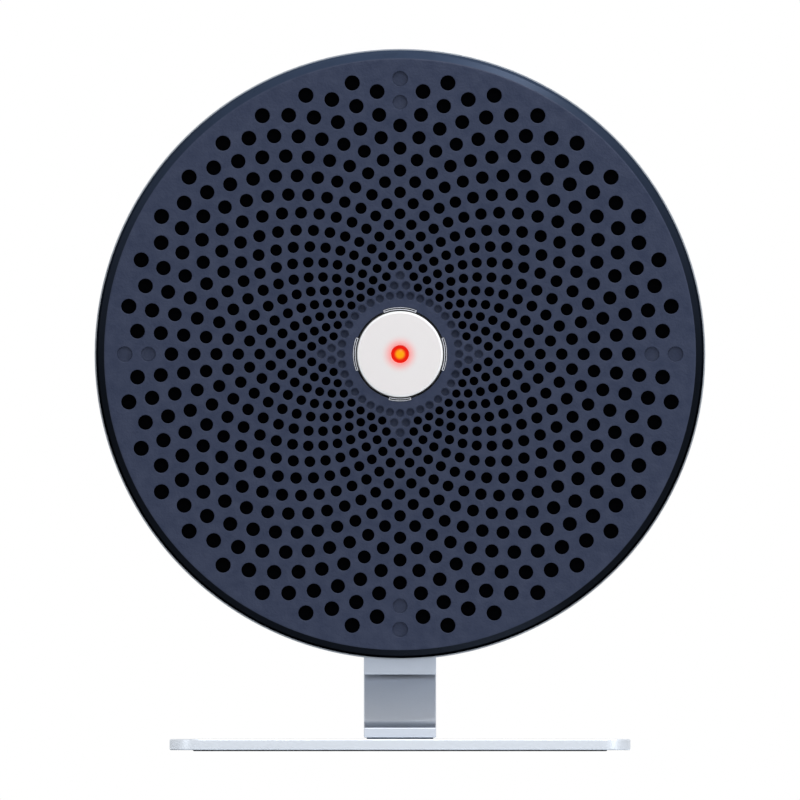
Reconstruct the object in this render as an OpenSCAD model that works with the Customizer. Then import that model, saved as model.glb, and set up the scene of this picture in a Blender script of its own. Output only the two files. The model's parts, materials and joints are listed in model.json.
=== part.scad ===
// Smart home hub: a round perforated speaker head on a small tilting stand.
// Millimetres. +Z is up, the perforated face looks along -Y, and the origin is
// on the table, under the middle of the base plate.

/* [Head] */
// Outer diameter of the rear shell
head_d = 110; // [108:1:124]
// Depth of the head from its face to its back
head_depth = 30; // [30:0.5:38]
// Wall of the rear shell
shell_wall = 2; // [1.8:0.1:2.4]
// Rounding of the rear shell's back edge
shell_edge_r = 5; // [3.5:0.5:6]
// How far the rear shell stands out past the front plate, all round
rim_step = 0.25; // [0.1:0.05:0.5]

/* [Front plate] */
// Thickness of the perforated face
face_t = 1.2; // [1:0.1:1.6]
// Width of the sloping border around the flat face
chamfer_w = 1.14; // [0.8:0.02:2]
// How far the sloping border falls back
chamfer_h = 0.9; // [0.6:0.1:1.6]
// Width of the steep edge outside the sloping border
edge_w = 0.45; // [0.3:0.05:0.8]
// How far the front plate's skirt reaches back
skirt_h = 4.6; // [4:0.2:5.2]
// Depth of the locating lip inside the rear shell
lip_h = 2; // [1.5:0.1:2.4]
// Thickness of the locating lip
lip_t = 1.2; // [1:0.1:1.6]

/* [Perforation] */
// Radius of the innermost ring of holes
ring_first_r = 10.62; // [10.6:0.02:10.7]
// Step from one ring to the next, before it grows
ring_pitch = 1.753; // [1.745:0.001:1.8]
// Growth of that step, ring by ring
ring_growth = 0.0098; // [0.009:0.0002:0.012]
// Number of holes in each ring
holes_per_ring = 36; // [36]
// Diameter of the innermost holes
hole_d_first = 1.46; // [1.2:0.02:1.5]
// How much wider each ring's holes are than the ring before
hole_d_step = 0.065; // [0.05:0.001:0.066]
// Depth of the blind dimples, where a boss stands behind the face
dimple_depth = 0.4; // [0.2:0.1:0.5]
// Solid border between the outermost holes and the edge of the flat face
pattern_margin = 1.6; // [1.4:0.1:2.1]

/* [Button] */
// Diameter of the button cap
cap_d = 15.5; // [14.6:0.1:15.8]
// How far the cap stands out of the face
cap_proud = 0.6; // [0.4:0.1:1]
// Travel of the cap
cap_travel = 0.5; // [0.2:0.1:0.7]
// Thickness of the cap's front wall
cap_skin = 1.4; // [1:0.1:1.6]
// Width of the cap's hidden flange
cap_flange_w = 1.86; // [1.4:0.02:2]
// Thickness of the cap's hidden flange
cap_flange_t = 1.2; // [1:0.1:1.4]
// Wall of the guide ring around the cap
guide_wall = 0.55; // [0.5:0.05:0.6]
// Diameter of the indicator lamp
led_d = 3; // [2.8:0.1:3.2]

/* [Speaker] */
// Diameter of the driver's mounting flange
driver_d = 54; // [53:0.5:56]
// Width of the driver's mounting flange
driver_flange_w = 3.8; // [3.6:0.1:4]
// Diameter of the voice coil's former, outside
coil_d = 15.6; // [15:0.1:16]
// Diameter of the magnet
magnet_d = 25; // [24:0.5:26]
// Height of the magnet
magnet_h = 3.5; // [3:0.1:4]
// Travel of the cone each way
cone_travel = 1; // [0.5:0.1:1]

/* [Electronics] */
// Thickness of the main board
board_t = 1.6; // [1.2:0.2:1.6]
// Gap between the main board and the screw posts around it
board_gap = 0.7; // [0.3:0.1:1.7]
// Radius of the hole in the main board, around the magnet
board_hole_r = 17; // [16:0.5:18]
// Height of the standoffs under the main board
standoff_h = 3.4; // [3.2:0.1:3.8]
// Side of the processor package
chip_w = 14; // [12:1:14]

/* [Hinge] */
// Height of the hinge pin above the underside of the base plate
pin_h = 17.1; // [16.6:0.1:26]
// Diameter of the hinge pin
pin_d = 3; // [2.5:0.1:3.2]
// Distance of the pin behind the middle of the head
pin_back = 6; // [5.5:0.1:6.5]
// How far the hinge block hangs below the head
block_drop = 2.7; // [2.4:0.1:3.2]
// Depth of the hinge block under the pin
block_under_pin = 3.5; // [3.4:0.1:3.8]
// Depth of the hinge block from front to back
block_depth = 10; // [9.8:0.1:10.4]
// Setback of the block's lower front edge
block_draft = 0.4; // [0.2:0.1:0.6]
// Gap between the neck's shoulder and the slot above it
hinge_gap = 0.8; // [0.7:0.1:1]
// Radius of the neck's barrel around the pin
barrel_r = 3.2; // [3.1:0.05:3.25]
// Width of the neck's barrel
barrel_w = 4.8; // [4.6:0.1:5]
// Thickness of each friction washer
washer_t = 0.5; // [0.4:0.1:0.5]

/* [Stand] */
// Width of the neck strip and the hinge block
neck_w = 13; // [12.5:0.5:16]
// Thickness of the neck strip
neck_t = 1.8; // [1.6:0.1:2.2]
// Lean of the neck strip, back from upright
neck_lean = 20; // [12:1:24]
// Inner radius of the bend between neck and foot
bend_r = 2; // [1:0.5:3]
// Length of the flat foot in front of the bend
foot_len = 12; // [10:0.5:16]
// Thickness of the shim under the foot
shim_t = 0.25; // [0.2:0.05:0.4]
// Inset of the shim from the foot's edges
shim_inset = 0.5; // [0.3:0.1:0.8]
// Width of the base plate
base_w = 83; // [70:1:100]
// Depth of the base plate
base_d = 60; // [56:1:80]
// Thickness of the base plate
base_t = 2; // [1.8:0.1:3]
// Corner radius of the base plate, seen from above
base_corner_r = 5.4; // [4.5:0.1:12]
// Border of the base plate around the anti-slip pad
pad_border = 4; // [3:0.5:8]
// Depth of the recess that holds the pad
pad_recess = 0.6; // [0.4:0.1:0.7]
// How far the pad stands out under the base plate
pad_drop = 0.2; // [0.1:0.1:0.5]

/* [Fits] */
// Radial clearance of the hinge pin in the neck's barrel
pin_fit = 0.05; // [0.02:0.01:0.08]
// Radial gap between the cap and its guide ring
cap_gap = 0.2; // [0.15:0.01:0.25]
// Radial gap between the lamp and the cap
led_gap = 0.1; // [0.08:0.01:0.2]
// Gap on each side of pieces that are fitted and fixed
fit_gap = 0.1; // [0.05:0.01:0.15]
// Radial gap between the voice coil and the iron on each side of it
coil_gap = 0.3; // [0.25:0.05:0.4]

/* [Hidden] */

fine = 128;        // facets of the large rings
medium = 64;       // facets of the middling rounds
small = 32;        // facets of the small rounds
cut = 0.01;        // overlap of a cut past the face it opens

// Heights, from the table up
base_bottom = pad_drop;
base_top = base_bottom + base_t;
foot_bottom = base_top + shim_t;
foot_top = foot_bottom + neck_t;
pin_z = base_bottom + pin_h;
block_bottom = pin_z - block_under_pin;
slot_top = pin_z - pin_d / 2 - 0.6;
shoulder_z = slot_top - hinge_gap;
head_r = head_d / 2;
head_z = block_bottom + block_drop + head_r;

// Depths in the head, measured from its middle towards its face
face_z = head_depth / 2;
back_z = -head_depth / 2;
face_back = face_z - face_t;
rim_z = face_z - skirt_h;
lip_z = rim_z - lip_h;
frame_setback = 9.5;
frame_t = 2;
frame_front = face_z - frame_setback;
frame_back = frame_front - frame_t;
back_inner = back_z + shell_wall;
board_back = back_inner + standoff_h;
board_front = board_back + board_t;

// Radii in the head
shell_inner_r = head_r - shell_wall;
grille_r = head_r - rim_step;
slope_r = grille_r - edge_w;
face_r = slope_r - chamfer_w;
lip_r = shell_inner_r - fit_gap;
frame_r = shell_inner_r - 4 * fit_gap;

// Screws: shank radius, head radius, head height
small_screw = [0.65, 1.2, 0.9];
board_screw = [0.85, 1.7, 1.2];
board_screw_bite = 2.6;
board_screw_hole = 4;
grille_screw = [0.95, 1.9, 1.6];
grille_screw_bite = 5;
screw_end_gap = 0.5;
long_screw = [1.1, 2.1, 1.6];
counterbore_depth = 4;

// Fixings of the front plate
inner_boss_r = 1.75;
outer_boss_at = face_r - 5.66;
outer_boss_r = 2.5;
post_at = shell_inner_r - 7;
post_r = 3.8;
frame_boss_r = 3;
frame_boss_h = 4;

// Button, from the face back
cap_r = cap_d / 2;
cap_front = face_z + cap_proud;
guide_bore_r = cap_r + cap_gap;
guide_r = guide_bore_r + guide_wall;
guide_front = face_z - 0.25;
face_hole_r = guide_r + fit_gap;
boss_h = 1.2;
guide_flange_t = 1.2;
guide_flange_front = face_back - boss_h;
stop_z = guide_flange_front - guide_flange_t;
housing_flange_t = 1.2;
cap_flange_r = cap_r + cap_flange_w;
cap_hollow_r = cap_r - 1.45;
cap_flange_back = stop_z - cap_flange_t;
housing_bore_r = cap_flange_r + 1.1;
housing_wall = 1;
housing_floor_t = 1;
inner_boss_at = housing_bore_r + housing_wall + small_screw[1] + 0.29;
collar_r = inner_boss_at - inner_boss_r - fit_gap;
flange_r = inner_boss_at + small_screw[1] + 1.2;
plunger_h = 1;
plunger_r = 1;
switch_w = 4.5;
switch_h = 2;
switch_at = cap_r;
small_board_t = 1;
small_board_front = cap_flange_back - plunger_h - switch_h;
small_board_back = small_board_front - small_board_t;
small_board_r = housing_bore_r - 2 * fit_gap;
housing_back = small_board_back - housing_floor_t;
led_r = led_d / 2;
led_flange_r = led_r + 0.4;
led_flange_t = 0.8;
led_h = 5.8;
spacer_front = cap_front - led_h;

// Flat cable from the button to the main board
flex_t = 0.2;
flex_w = 6;
flex_y = driver_d / 2 + 4;
flex_slot_gap = 0.5;
connector_w = 9;
connector_d = 3.6;
connector_h = 1.6;

// Speaker, from its mounting flange back
driver_r = driver_d / 2;
opening_r = driver_r - driver_flange_w;
driver_front = frame_back;
basket_flange_t = 1;
basket_wall = 0.8;
driver_screw_at = (opening_r + basket_wall + driver_r) / 2;
driver_screw_end_gap = 0.2;
ledge_drop = 1.3;
surround_t = 0.5;
surround_lap = 1;
ledge_r = opening_r - 1.4;
cone_r = ledge_r - 3.3;
ledge_z = driver_front - ledge_drop;
basket_base_r = magnet_d / 2 + 2;
basket_base_t = 1;
coil_r = coil_d / 2;
coil_winding_t = 0.4;
former_t = 0.3;
pole_r = coil_r - former_t - coil_gap;
plate_bore_r = coil_r + coil_winding_t + coil_gap;
plate_t = 1.5;
plate_r = magnet_d / 2 + 0.5;
yoke_t = 1.5;
yoke_gap = 1;
magnet_back = back_inner + yoke_gap + yoke_t;
plate_back = magnet_back + magnet_h;
basket_back = plate_back + plate_t;
spider_ledge_z = basket_back + basket_base_t + 0.6;
spider_t = 0.4;
neck_of_cone_z = spider_ledge_z + spider_t + 0.2;

// Microphones
mesh_t = 0.3;
mic_x = 16;
mic_boot_w = 8;
mic_can = [4, 3, 1.2];
seal_inner_r = lip_r - lip_t - 0.8;
mic_corner_r = seal_inner_r - 3;
mic_y = sqrt(pow(mic_corner_r, 2) - pow(mic_x + mic_boot_w / 2, 2)) - mic_boot_w / 2;

// Vent slots in the back
vent_count = 9;
vent_pitch = 5;
vent_w = 2;
vent_h = 14;
vent_y = shell_inner_r - 21;

// On the main board
board_r = post_at - post_r - board_gap;
board_mid_r = (board_hole_r + board_r) / 2;
standoff_at = board_r - 4.5;
standoff_r = 2.5;
inlet_y = -board_mid_r;
inlet_w = 9;
inlet_h = 3.3;
chip_y = 5;
can_w = 14;
can_h = 2.2;
can_t = 0.3;
capacitor_r = 3;
capacitor_h = 6.5;
antenna_x = 15;
antenna_w = 10;
antenna_h = 5;
antenna_d = 3;
antenna_t = 0.5;
antenna_y = sqrt(pow(board_r - 0.6, 2) - pow(antenna_x + antenna_w / 2, 2));
processor_t = 1.4;
thermal_pad_t = 0.6;
reset_x = 16;
reset_r = 1.5;
reset_stem_r = 0.8;
reset_travel = 0.3;
reset_body_h = 1.6;

// Hinge
pocket_w = barrel_w + 2 * washer_t + 4 * pin_fit;
pocket_r = barrel_r + 0.2;
pocket_top = pin_z + pocket_r + 0.1;
seat_top = pocket_top + 1.4;
hinge_flange_side = 7.5;
hinge_flange_w = neck_w + 2 * hinge_flange_side;
hinge_flange_t = 3;
hinge_screw_out = 4;
hinge_screw_at = neck_w / 2 + hinge_screw_out;
hinge_screw_depth = 3;
seat_side = 1.5;
block_draft_above_pin = 1;

// Stand
bend_mid_r = bend_r + neck_t / 2;
bend_z = foot_top + bend_r;
strip_len = (pin_z - bend_z + bend_mid_r * sin(neck_lean)) / cos(neck_lean);
bend_y = pin_back - strip_len * sin(neck_lean) - bend_mid_r * cos(neck_lean);
foot_front_y = bend_y - foot_len;
foot_screw_y = bend_y - foot_len / 2;
foot_screw_x = 3.6;
base_screw_r = 1.25;
base_screw_head_r = 2.4;
base_screw_sink = 1.15;
foot_roof = 0.4;
base_screw_tip_gap = 0.2;

// ---- Placing helpers ----

// Puts a shape drawn in the head's own frame (x right, y up, z out of the face)
// into the model's frame.
module in_head() {
    translate([0, 0, head_z]) rotate([90, 0, 0]) children();
}

// Copies a shape to the four points above, below and beside the centre.
module at_cardinals(r) {
    for (a = [0:90:270]) rotate(a) translate([r, 0, 0]) children();
}

// Copies a shape to the four points on the diagonals.
module at_diagonals(r) {
    for (a = [45:90:315]) rotate(a) translate([r, 0, 0]) children();
}

// Draws a side outline (y back, z up) and gives it a width along X.
module along_x(width) {
    rotate([90, 0, 90]) linear_extrude(height = width, center = true) children();
}

// A straight tube standing on z = 0.
module tube(outer_r, inner_r, h, facets = medium) {
    difference() {
        cylinder(r = outer_r, h = h, $fn = facets);
        translate([0, 0, -1]) cylinder(r = inner_r, h = h + 2, $fn = facets);
    }
}

// A cap screw with its head below z = 0 and its shank above, with a hex socket.
module screw(kind, length) {
    difference() {
        union() {
            translate([0, 0, -kind[2]]) cylinder(r = kind[1], h = kind[2], $fn = small);
            translate([0, 0, -cut]) cylinder(r = kind[0], h = length + cut, $fn = small);
        }
        translate([0, 0, -kind[2] - cut]) cylinder(r = kind[1] * 0.5, h = kind[2] * 0.6, $fn = 6);
    }
}

// A rectangle with round corners, centred.
module rounded_rect(w, d, r) {
    square([w - 2 * r, d], center = true);
    square([w, d - 2 * r], center = true);
    for (x = [-1, 1], y = [-1, 1])
        translate([x * (w / 2 - r), y * (d / 2 - r)]) circle(r = r, $fn = medium);
}

// A slot with round ends, centred, longest along Y.
module slot_2d(w, h) {
    square([w, h - w], center = true);
    for (y = [-1, 1]) translate([0, y * (h - w) / 2]) circle(r = w / 2, $fn = small);
}

// ---- Perforation pattern ----

function ring_r(i) = ring_first_r + ring_pitch * i + ring_growth * i * i;
function hole_r(i) = (hole_d_first + hole_d_step * i) / 2;
function hole_step() = 360 / holes_per_ring;
function hole_angle(i, k) = hole_step() * (k + (i % 2) / 2);
function hole_xy(i, k) = ring_r(i) * [cos(hole_angle(i, k)), sin(hole_angle(i, k))];
function fits(i) = ring_r(i) + hole_r(i) < face_r - pattern_margin;
function ring_count(i = 0) = fits(i) ? ring_count(i + 1) : i;

// How far a point lies from the nearest of four bosses on the cardinals.
function boss_gap(p, at) = norm([max(abs(p.x), abs(p.y)) - at, min(abs(p.x), abs(p.y))]);

// A hole is only a dimple where the guide's collar or a boss stands behind it.
function is_dimple(i, k) =
    ring_r(i) - hole_r(i) < collar_r - 1 ||
    boss_gap(hole_xy(i, k), inner_boss_at) < inner_boss_r + hole_r(i) ||
    boss_gap(hole_xy(i, k), outer_boss_at) < outer_boss_r + hole_r(i);

// ---- Front ----

// Moulded face: the perforated plate, its sloping border, skirt and bosses.
module front_grille() {
    color("#383F53") in_head() difference() {
        union() {
            translate([0, 0, face_back]) linear_extrude(height = face_t) difference() {
                circle(r = lip_r - lip_t, $fn = fine);
                circle(r = face_hole_r, $fn = medium);
                for (i = [0:ring_count() - 1], k = [0:holes_per_ring - 1])
                    if (!is_dimple(i, k)) translate(hole_xy(i, k)) circle(r = hole_r(i), $fn = 16);
            }
            rotate_extrude($fn = fine) polygon([
                [lip_r - lip_t, face_z], [face_r, face_z], [slope_r, face_z - chamfer_h],
                [grille_r, face_z - chamfer_h - 2 * edge_w], [grille_r, rim_z], [lip_r, rim_z],
                [lip_r, lip_z], [lip_r - lip_t, lip_z]
            ]);
            at_cardinals(inner_boss_at) translate([0, 0, guide_flange_front])
                cylinder(r = inner_boss_r, h = boss_h + cut, $fn = small);
            at_cardinals(outer_boss_at) translate([0, 0, frame_front])
                cylinder(r = outer_boss_r, h = face_back - frame_front + cut, $fn = small);
        }
        for (i = [0:ring_count() - 1], k = [0:holes_per_ring - 1])
            if (is_dimple(i, k)) translate([hole_xy(i, k).x, hole_xy(i, k).y, face_z - dimple_depth])
                cylinder(r = hole_r(i), h = dimple_depth + cut, $fn = 16);
        at_cardinals(inner_boss_at) translate([0, 0, guide_flange_front - cut])
            cylinder(r = small_screw[0], h = boss_h + 0.4, $fn = small);
        at_cardinals(outer_boss_at) translate([0, 0, frame_front - cut])
            cylinder(r = grille_screw[0], h = grille_screw_bite + screw_end_gap, $fn = small);
    }
}

// Black cloth bonded behind the face, cut out around the button and the bosses.
module acoustic_mesh() {
    color("#0B0C10") in_head() translate([0, 0, face_back - mesh_t]) linear_extrude(height = mesh_t)
        difference() {
            circle(r = lip_r - lip_t - 2 * fit_gap, $fn = fine);
            circle(r = collar_r + 2 * fit_gap, $fn = medium);
            at_cardinals(inner_boss_at) circle(r = inner_boss_r + 2 * fit_gap, $fn = small);
            at_cardinals(outer_boss_at) circle(r = outer_boss_r + 2 * fit_gap, $fn = small);
        }
}

// Foam ring squeezed between the front plate's lip and the inner frame.
module seal_ring() {
    color("#26272B") in_head() translate([0, 0, frame_front])
        tube(lip_r - fit_gap, seal_inner_r, lip_z - frame_front, fine);
}

// Moulded frame that carries the speaker, the microphones and the front plate.
module inner_frame() {
    color("#1B1D22") in_head() difference() {
        union() {
            translate([0, 0, frame_back]) cylinder(r = frame_r, h = frame_t, $fn = fine);
            at_diagonals(post_at) translate([0, 0, frame_front - cut])
                cylinder(r = frame_boss_r, h = frame_boss_h + cut, $fn = small);
        }
        translate([0, 0, frame_back - 1]) cylinder(r = opening_r, h = frame_t + 2, $fn = medium);
        at_diagonals(post_at) translate([0, 0, frame_back - 1])
            cylinder(r = long_screw[0], h = frame_t + frame_boss_h, $fn = small);
        at_cardinals(outer_boss_at) translate([0, 0, frame_back - 1])
            cylinder(r = grille_screw[0] + fit_gap, h = frame_t + 2, $fn = small);
        at_diagonals(driver_screw_at) translate([0, 0, frame_back - 1])
            cylinder(r = small_screw[0], h = frame_t + 2, $fn = small);
        translate([0, flex_y, frame_back - 1]) linear_extrude(height = frame_t + 2)
            square([flex_w + 2 * flex_slot_gap, flex_t + 2 * flex_slot_gap], center = true);
    }
}

// Screws from behind the inner frame into the front plate's bosses.
module grille_screws() {
    color("silver") in_head() at_cardinals(outer_boss_at) translate([0, 0, frame_back])
        screw(grille_screw, frame_t + grille_screw_bite);
}

// ---- Rear ----

// Silver rear shell: back, wall, screw posts, board standoffs and the hinge seat.
module rear_shell() {
    color("#B9BEC6") difference() {
        in_head() difference() {
            rotate_extrude($fn = fine) cup_outline(head_r, back_z, rim_z, shell_edge_r);
            difference() {
                rotate_extrude($fn = fine)
                    cup_outline(shell_inner_r, back_inner, rim_z + 1, shell_edge_r - shell_wall);
                at_diagonals(post_at) translate([0, 0, back_z])
                    cylinder(r = post_r, h = frame_back - back_z, $fn = small);
                at_diagonals(standoff_at) translate([0, 0, back_z])
                    cylinder(r = standoff_r, h = board_back - back_z, $fn = small);
                hinge_seat();
            }
            at_diagonals(post_at) translate([0, 0, back_z - 1]) {
                cylinder(r = long_screw[0] + fit_gap, h = head_depth, $fn = small);
                cylinder(r = long_screw[1] + 3 * fit_gap, h = counterbore_depth + 1, $fn = small);
            }
            at_diagonals(standoff_at) translate([0, 0, board_back - 3])
                cylinder(r = board_screw[0], h = board_screw_hole, $fn = small);
            for (i = [0:vent_count - 1])
                translate([(i - (vent_count - 1) / 2) * vent_pitch, vent_y, back_z - 1])
                    linear_extrude(height = shell_wall + 2) slot_2d(vent_w, vent_h);
            translate([0, inlet_y, back_z - 1]) linear_extrude(height = shell_wall + 2)
                rotate(90) slot_2d(inlet_h + 4 * fit_gap, inlet_w + 4 * fit_gap);
            translate([reset_x, inlet_y, back_z - 1])
                cylinder(r = reset_r + 2 * fit_gap, h = shell_wall + 2, $fn = small);
        }
        hinge_opening();
        hinge_screw_places() translate([0, 0, -hinge_screw_depth - 0.2])
            cylinder(r = board_screw[0], h = hinge_screw_depth + 1, $fn = small);
    }
}

// Half section of a round cup with a rounded bottom edge.
module cup_outline(r, bottom, top, edge_r) {
    translate([0, bottom + edge_r]) square([r, top - bottom - edge_r]);
    translate([0, bottom]) square([r - edge_r, edge_r + cut]);
    translate([r - edge_r, bottom + edge_r]) circle(r = edge_r, $fn = medium);
}

// Flat seat for the hinge block's flange, on the inside of the shell's wall.
module hinge_seat() {
    seat_w = hinge_flange_w + 2;
    seat_d = block_depth + 2 * seat_side;
    intersection() {
        translate([0, 0, back_z]) cylinder(r = shell_inner_r + shell_wall / 2, h = head_depth, $fn = fine);
        translate([-seat_w / 2, -head_r - 1, -pin_back - seat_d / 2])
            cube([seat_w, seat_top - head_z + head_r + 1, seat_d]);
    }
}

// Opening in the bottom of the shell for the hinge block's stem.
module hinge_opening() {
    translate([0, pin_back, head_z - head_r]) cube([
        neck_w + 2 * fit_gap, block_depth + 2 * fit_gap, 2 * (seat_top - head_z + head_r) + 1
    ], center = true);
}

// Long screws from the back, through the posts, into the inner frame.
module housing_screws() {
    color("#8D9299") in_head() at_diagonals(post_at) translate([0, 0, back_z + counterbore_depth])
        screw(long_screw, frame_front + frame_boss_h - 1 - back_z - counterbore_depth);
}

// ---- Button ----

// Warm white cap with a hollow back, a lamp hole and a stop flange.
module button_cap() {
    color("#E9E6E4") in_head() difference() {
        rotate_extrude($fn = medium) polygon([
            [led_r + led_gap, cap_front], [cap_r - 0.3, cap_front], [cap_r, cap_front - 0.3],
            [cap_r, stop_z], [cap_flange_r, stop_z], [cap_flange_r, cap_flange_back],
            [cap_hollow_r, cap_flange_back], [cap_hollow_r, cap_front - cap_skin],
            [led_r + led_gap, cap_front - cap_skin]
        ]);
    }
}

// Gloss black ring that guides the cap, with a collar behind the face.
module button_guide() {
    color("#101218") in_head() difference() {
        union() {
            translate([0, 0, stop_z]) tube(guide_r, guide_bore_r, guide_front - stop_z);
            translate([0, 0, stop_z]) tube(flange_r, guide_bore_r, guide_flange_t);
            translate([0, 0, stop_z]) tube(collar_r, guide_bore_r, face_back - stop_z);
        }
        at_cardinals(inner_boss_at) translate([0, 0, stop_z - 1])
            cylinder(r = small_screw[0] + fit_gap, h = guide_flange_t + 2, $fn = small);
    }
}

// Cup behind the button that holds its board and clamps the guide ring.
module button_housing() {
    wall_r = housing_bore_r + housing_wall;
    color("#1B1D22") in_head() difference() {
        union() {
            translate([0, 0, housing_back]) cylinder(r = wall_r, h = stop_z - housing_back, $fn = medium);
            translate([0, 0, stop_z - housing_flange_t])
                cylinder(r = flange_r, h = housing_flange_t, $fn = medium);
        }
        translate([0, 0, small_board_back])
            cylinder(r = housing_bore_r, h = stop_z - small_board_back + 1, $fn = medium);
        at_cardinals(inner_boss_at) translate([0, 0, stop_z - housing_flange_t - 1])
            cylinder(r = small_screw[0] + fit_gap, h = housing_flange_t + 2, $fn = small);
        translate([-flex_w / 2 - flex_slot_gap, 0, small_board_front - fit_gap])
            cube([flex_w + 2 * flex_slot_gap, wall_r + 1, flex_t + 3 * fit_gap]);
    }
}

// Screws through the cup and the guide ring into the face.
module button_screws() {
    color("silver") in_head() at_cardinals(inner_boss_at) translate([0, 0, stop_z - housing_flange_t])
        screw(small_screw, guide_flange_t + housing_flange_t + boss_h);
}

// Small round board behind the cap.
module button_board() {
    color("#1E5B3A") in_head() translate([0, 0, small_board_back])
        cylinder(r = small_board_r, h = small_board_t, $fn = medium);
}

// Two tactile switches, left and right of the lamp.
module switch_bodies() {
    color("#2B2D31") in_head() for (s = [-1, 1]) translate([s * switch_at, 0, small_board_front])
        difference() {
            translate([-switch_w / 2, -switch_w / 2, 0]) cube([switch_w, switch_w, switch_h]);
            translate([0, 0, switch_h - cap_travel - 0.3])
                cylinder(r = plunger_r + fit_gap, h = 2, $fn = small);
        }
}

// The switches' plungers, which the cap's flange rests on.
module switch_plungers() {
    color("#B9BBBE") in_head() for (s = [-1, 1]) translate([s * switch_at, 0, cap_flange_back - plunger_h])
        cylinder(r = plunger_r, h = plunger_h, $fn = small);
}

// Black tube that holds the lamp at the height of the cap's face.
module lamp_spacer() {
    color("#17181B") in_head() translate([0, 0, small_board_front])
        tube(led_flange_r + 0.5, 0.9, spacer_front - small_board_front, small);
}

// Red indicator lamp: flange, body and round nose, level with the cap's face.
module indicator_lamp() {
    color("#F02018") in_head() translate([0, 0, spacer_front]) {
        cylinder(r = led_flange_r, h = led_flange_t, $fn = small);
        cylinder(r = led_r, h = led_h - led_r, $fn = small);
        translate([0, 0, led_h - led_r]) sphere(r = led_r, $fn = small);
    }
}

// Flat cable from the button's board, through the frame, to the main board.
module button_flex() {
    top_z = small_board_front;
    color("#B5682A") in_head() {
        translate([-flex_w / 2, small_board_r - 1.4, top_z])
            cube([flex_w, flex_y + flex_t / 2 - small_board_r + 1.4, flex_t]);
        translate([-flex_w / 2, flex_y - flex_t / 2, board_front + connector_h])
            cube([flex_w, flex_t, top_z - board_front - connector_h + cut]);
    }
}

// ---- Speaker ----

// Pressed steel basket with four windows.
module driver_basket() {
    flange_back = driver_front - basket_flange_t;
    wall_back = spider_ledge_z - 0.6;
    wall_front = ledge_z - basket_wall;
    window_z = (wall_back + wall_front) / 2;
    window_h = (wall_front - wall_back) / 2;
    color("#3A3D42") in_head() difference() {
        rotate_extrude($fn = medium) polygon([
            [opening_r, driver_front], [driver_r, driver_front], [driver_r, flange_back],
            [opening_r + basket_wall, flange_back], [opening_r + basket_wall, wall_front],
            [basket_base_r, wall_back], [basket_base_r, basket_back],
            [plate_bore_r, basket_back], [plate_bore_r, basket_back + basket_base_t],
            [basket_base_r - 2, basket_back + basket_base_t], [basket_base_r - 2, spider_ledge_z],
            [basket_base_r - 0.8, spider_ledge_z], [ledge_r, ledge_z], [opening_r, ledge_z]
        ]);
        for (a = [0:90:270]) rotate(a) translate([(basket_base_r + ledge_r) / 2, 0, window_z])
            cube([ledge_r - basket_base_r + 2, 12, window_h], center = true);
        at_diagonals(driver_screw_at) translate([0, 0, flange_back - 1])
            cylinder(r = small_screw[0] + fit_gap, h = basket_flange_t + 2, $fn = small);
    }
}

// Front iron ring of the magnet system.
module driver_top_plate() {
    color("#7C8086") in_head() translate([0, 0, plate_back]) tube(plate_r, plate_bore_r, plate_t);
}

// Ring magnet.
module driver_magnet() {
    color("#4A4C50") in_head() translate([0, 0, magnet_back])
        tube(magnet_d / 2, plate_bore_r + 1, magnet_h);
}

// Back iron plate with the pole piece.
module driver_yoke() {
    color("#7C8086") in_head() {
        translate([0, 0, magnet_back - yoke_t]) cylinder(r = plate_r, h = yoke_t, $fn = medium);
        translate([0, 0, magnet_back - cut])
            cylinder(r = pole_r, h = basket_back - magnet_back + cut, $fn = medium);
    }
}

// Half-round rubber roll between the cone and the basket.
module driver_surround() {
    roll_r = (ledge_r - cone_r) / 2;
    color("#202226") in_head() rotate_extrude($fn = medium) {
        translate([cone_r - surround_lap, ledge_z]) square([surround_lap + cut, surround_t]);
        translate([ledge_r - cut, ledge_z]) square([opening_r - ledge_r + cut, surround_t]);
        translate([cone_r + roll_r, ledge_z]) intersection() {
            difference() {
                circle(r = roll_r, $fn = small);
                circle(r = roll_r - surround_t, $fn = small);
            }
            translate([-roll_r, 0]) square([2 * roll_r, roll_r]);
        }
    }
}

// Flat stepped disc that centres the coil.
module driver_spider() {
    color("#C9A765") in_head() translate([0, 0, spider_ledge_z])
        tube(basket_base_r - 0.9, coil_r, spider_t);
}

// Paper cone, from the surround down to the coil's former.
module driver_cone() {
    cone_t = 0.5;
    edge_z = ledge_z - cone_t;
    color("#2A2B2F") in_head() rotate_extrude($fn = medium) polygon([
        [cone_r - 1, ledge_z], [cone_r, ledge_z], [cone_r, edge_z], [cone_r - 1, edge_z],
        [coil_r, neck_of_cone_z], [coil_r, neck_of_cone_z + cone_t + 0.3]
    ]);
}

// Domed cap over the coil.
module dust_cap() {
    dome_r = 16;
    skin = 0.4;
    rise = dome_r - sqrt(dome_r * dome_r - coil_r * coil_r);
    color("#2A2B2F") in_head() translate([0, 0, neck_of_cone_z + 1.2]) rotate_extrude($fn = medium)
        intersection() {
            translate([0, rise - dome_r]) difference() {
                circle(r = dome_r, $fn = fine);
                circle(r = dome_r - skin, $fn = fine);
            }
            square([coil_r, dome_r]);
        }
}

// Former with the copper winding in the magnet's gap.
module voice_coil() {
    winding_h = 2.4;
    former_back = magnet_back + cone_travel + 0.5;
    color("#B56A32") in_head() {
        translate([0, 0, former_back])
            tube(coil_r, coil_r - former_t, neck_of_cone_z + 1.2 - former_back);
        translate([0, 0, plate_back + plate_t / 2 - winding_h / 2])
            tube(coil_r + coil_winding_t, coil_r - cut, winding_h);
    }
}

// Screws through the basket's flange into the inner frame.
module driver_screws() {
    color("silver") in_head() at_diagonals(driver_screw_at)
        translate([0, 0, driver_front - basket_flange_t])
            screw(small_screw, basket_flange_t + frame_t - driver_screw_end_gap);
}

// ---- Microphones ----

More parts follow.
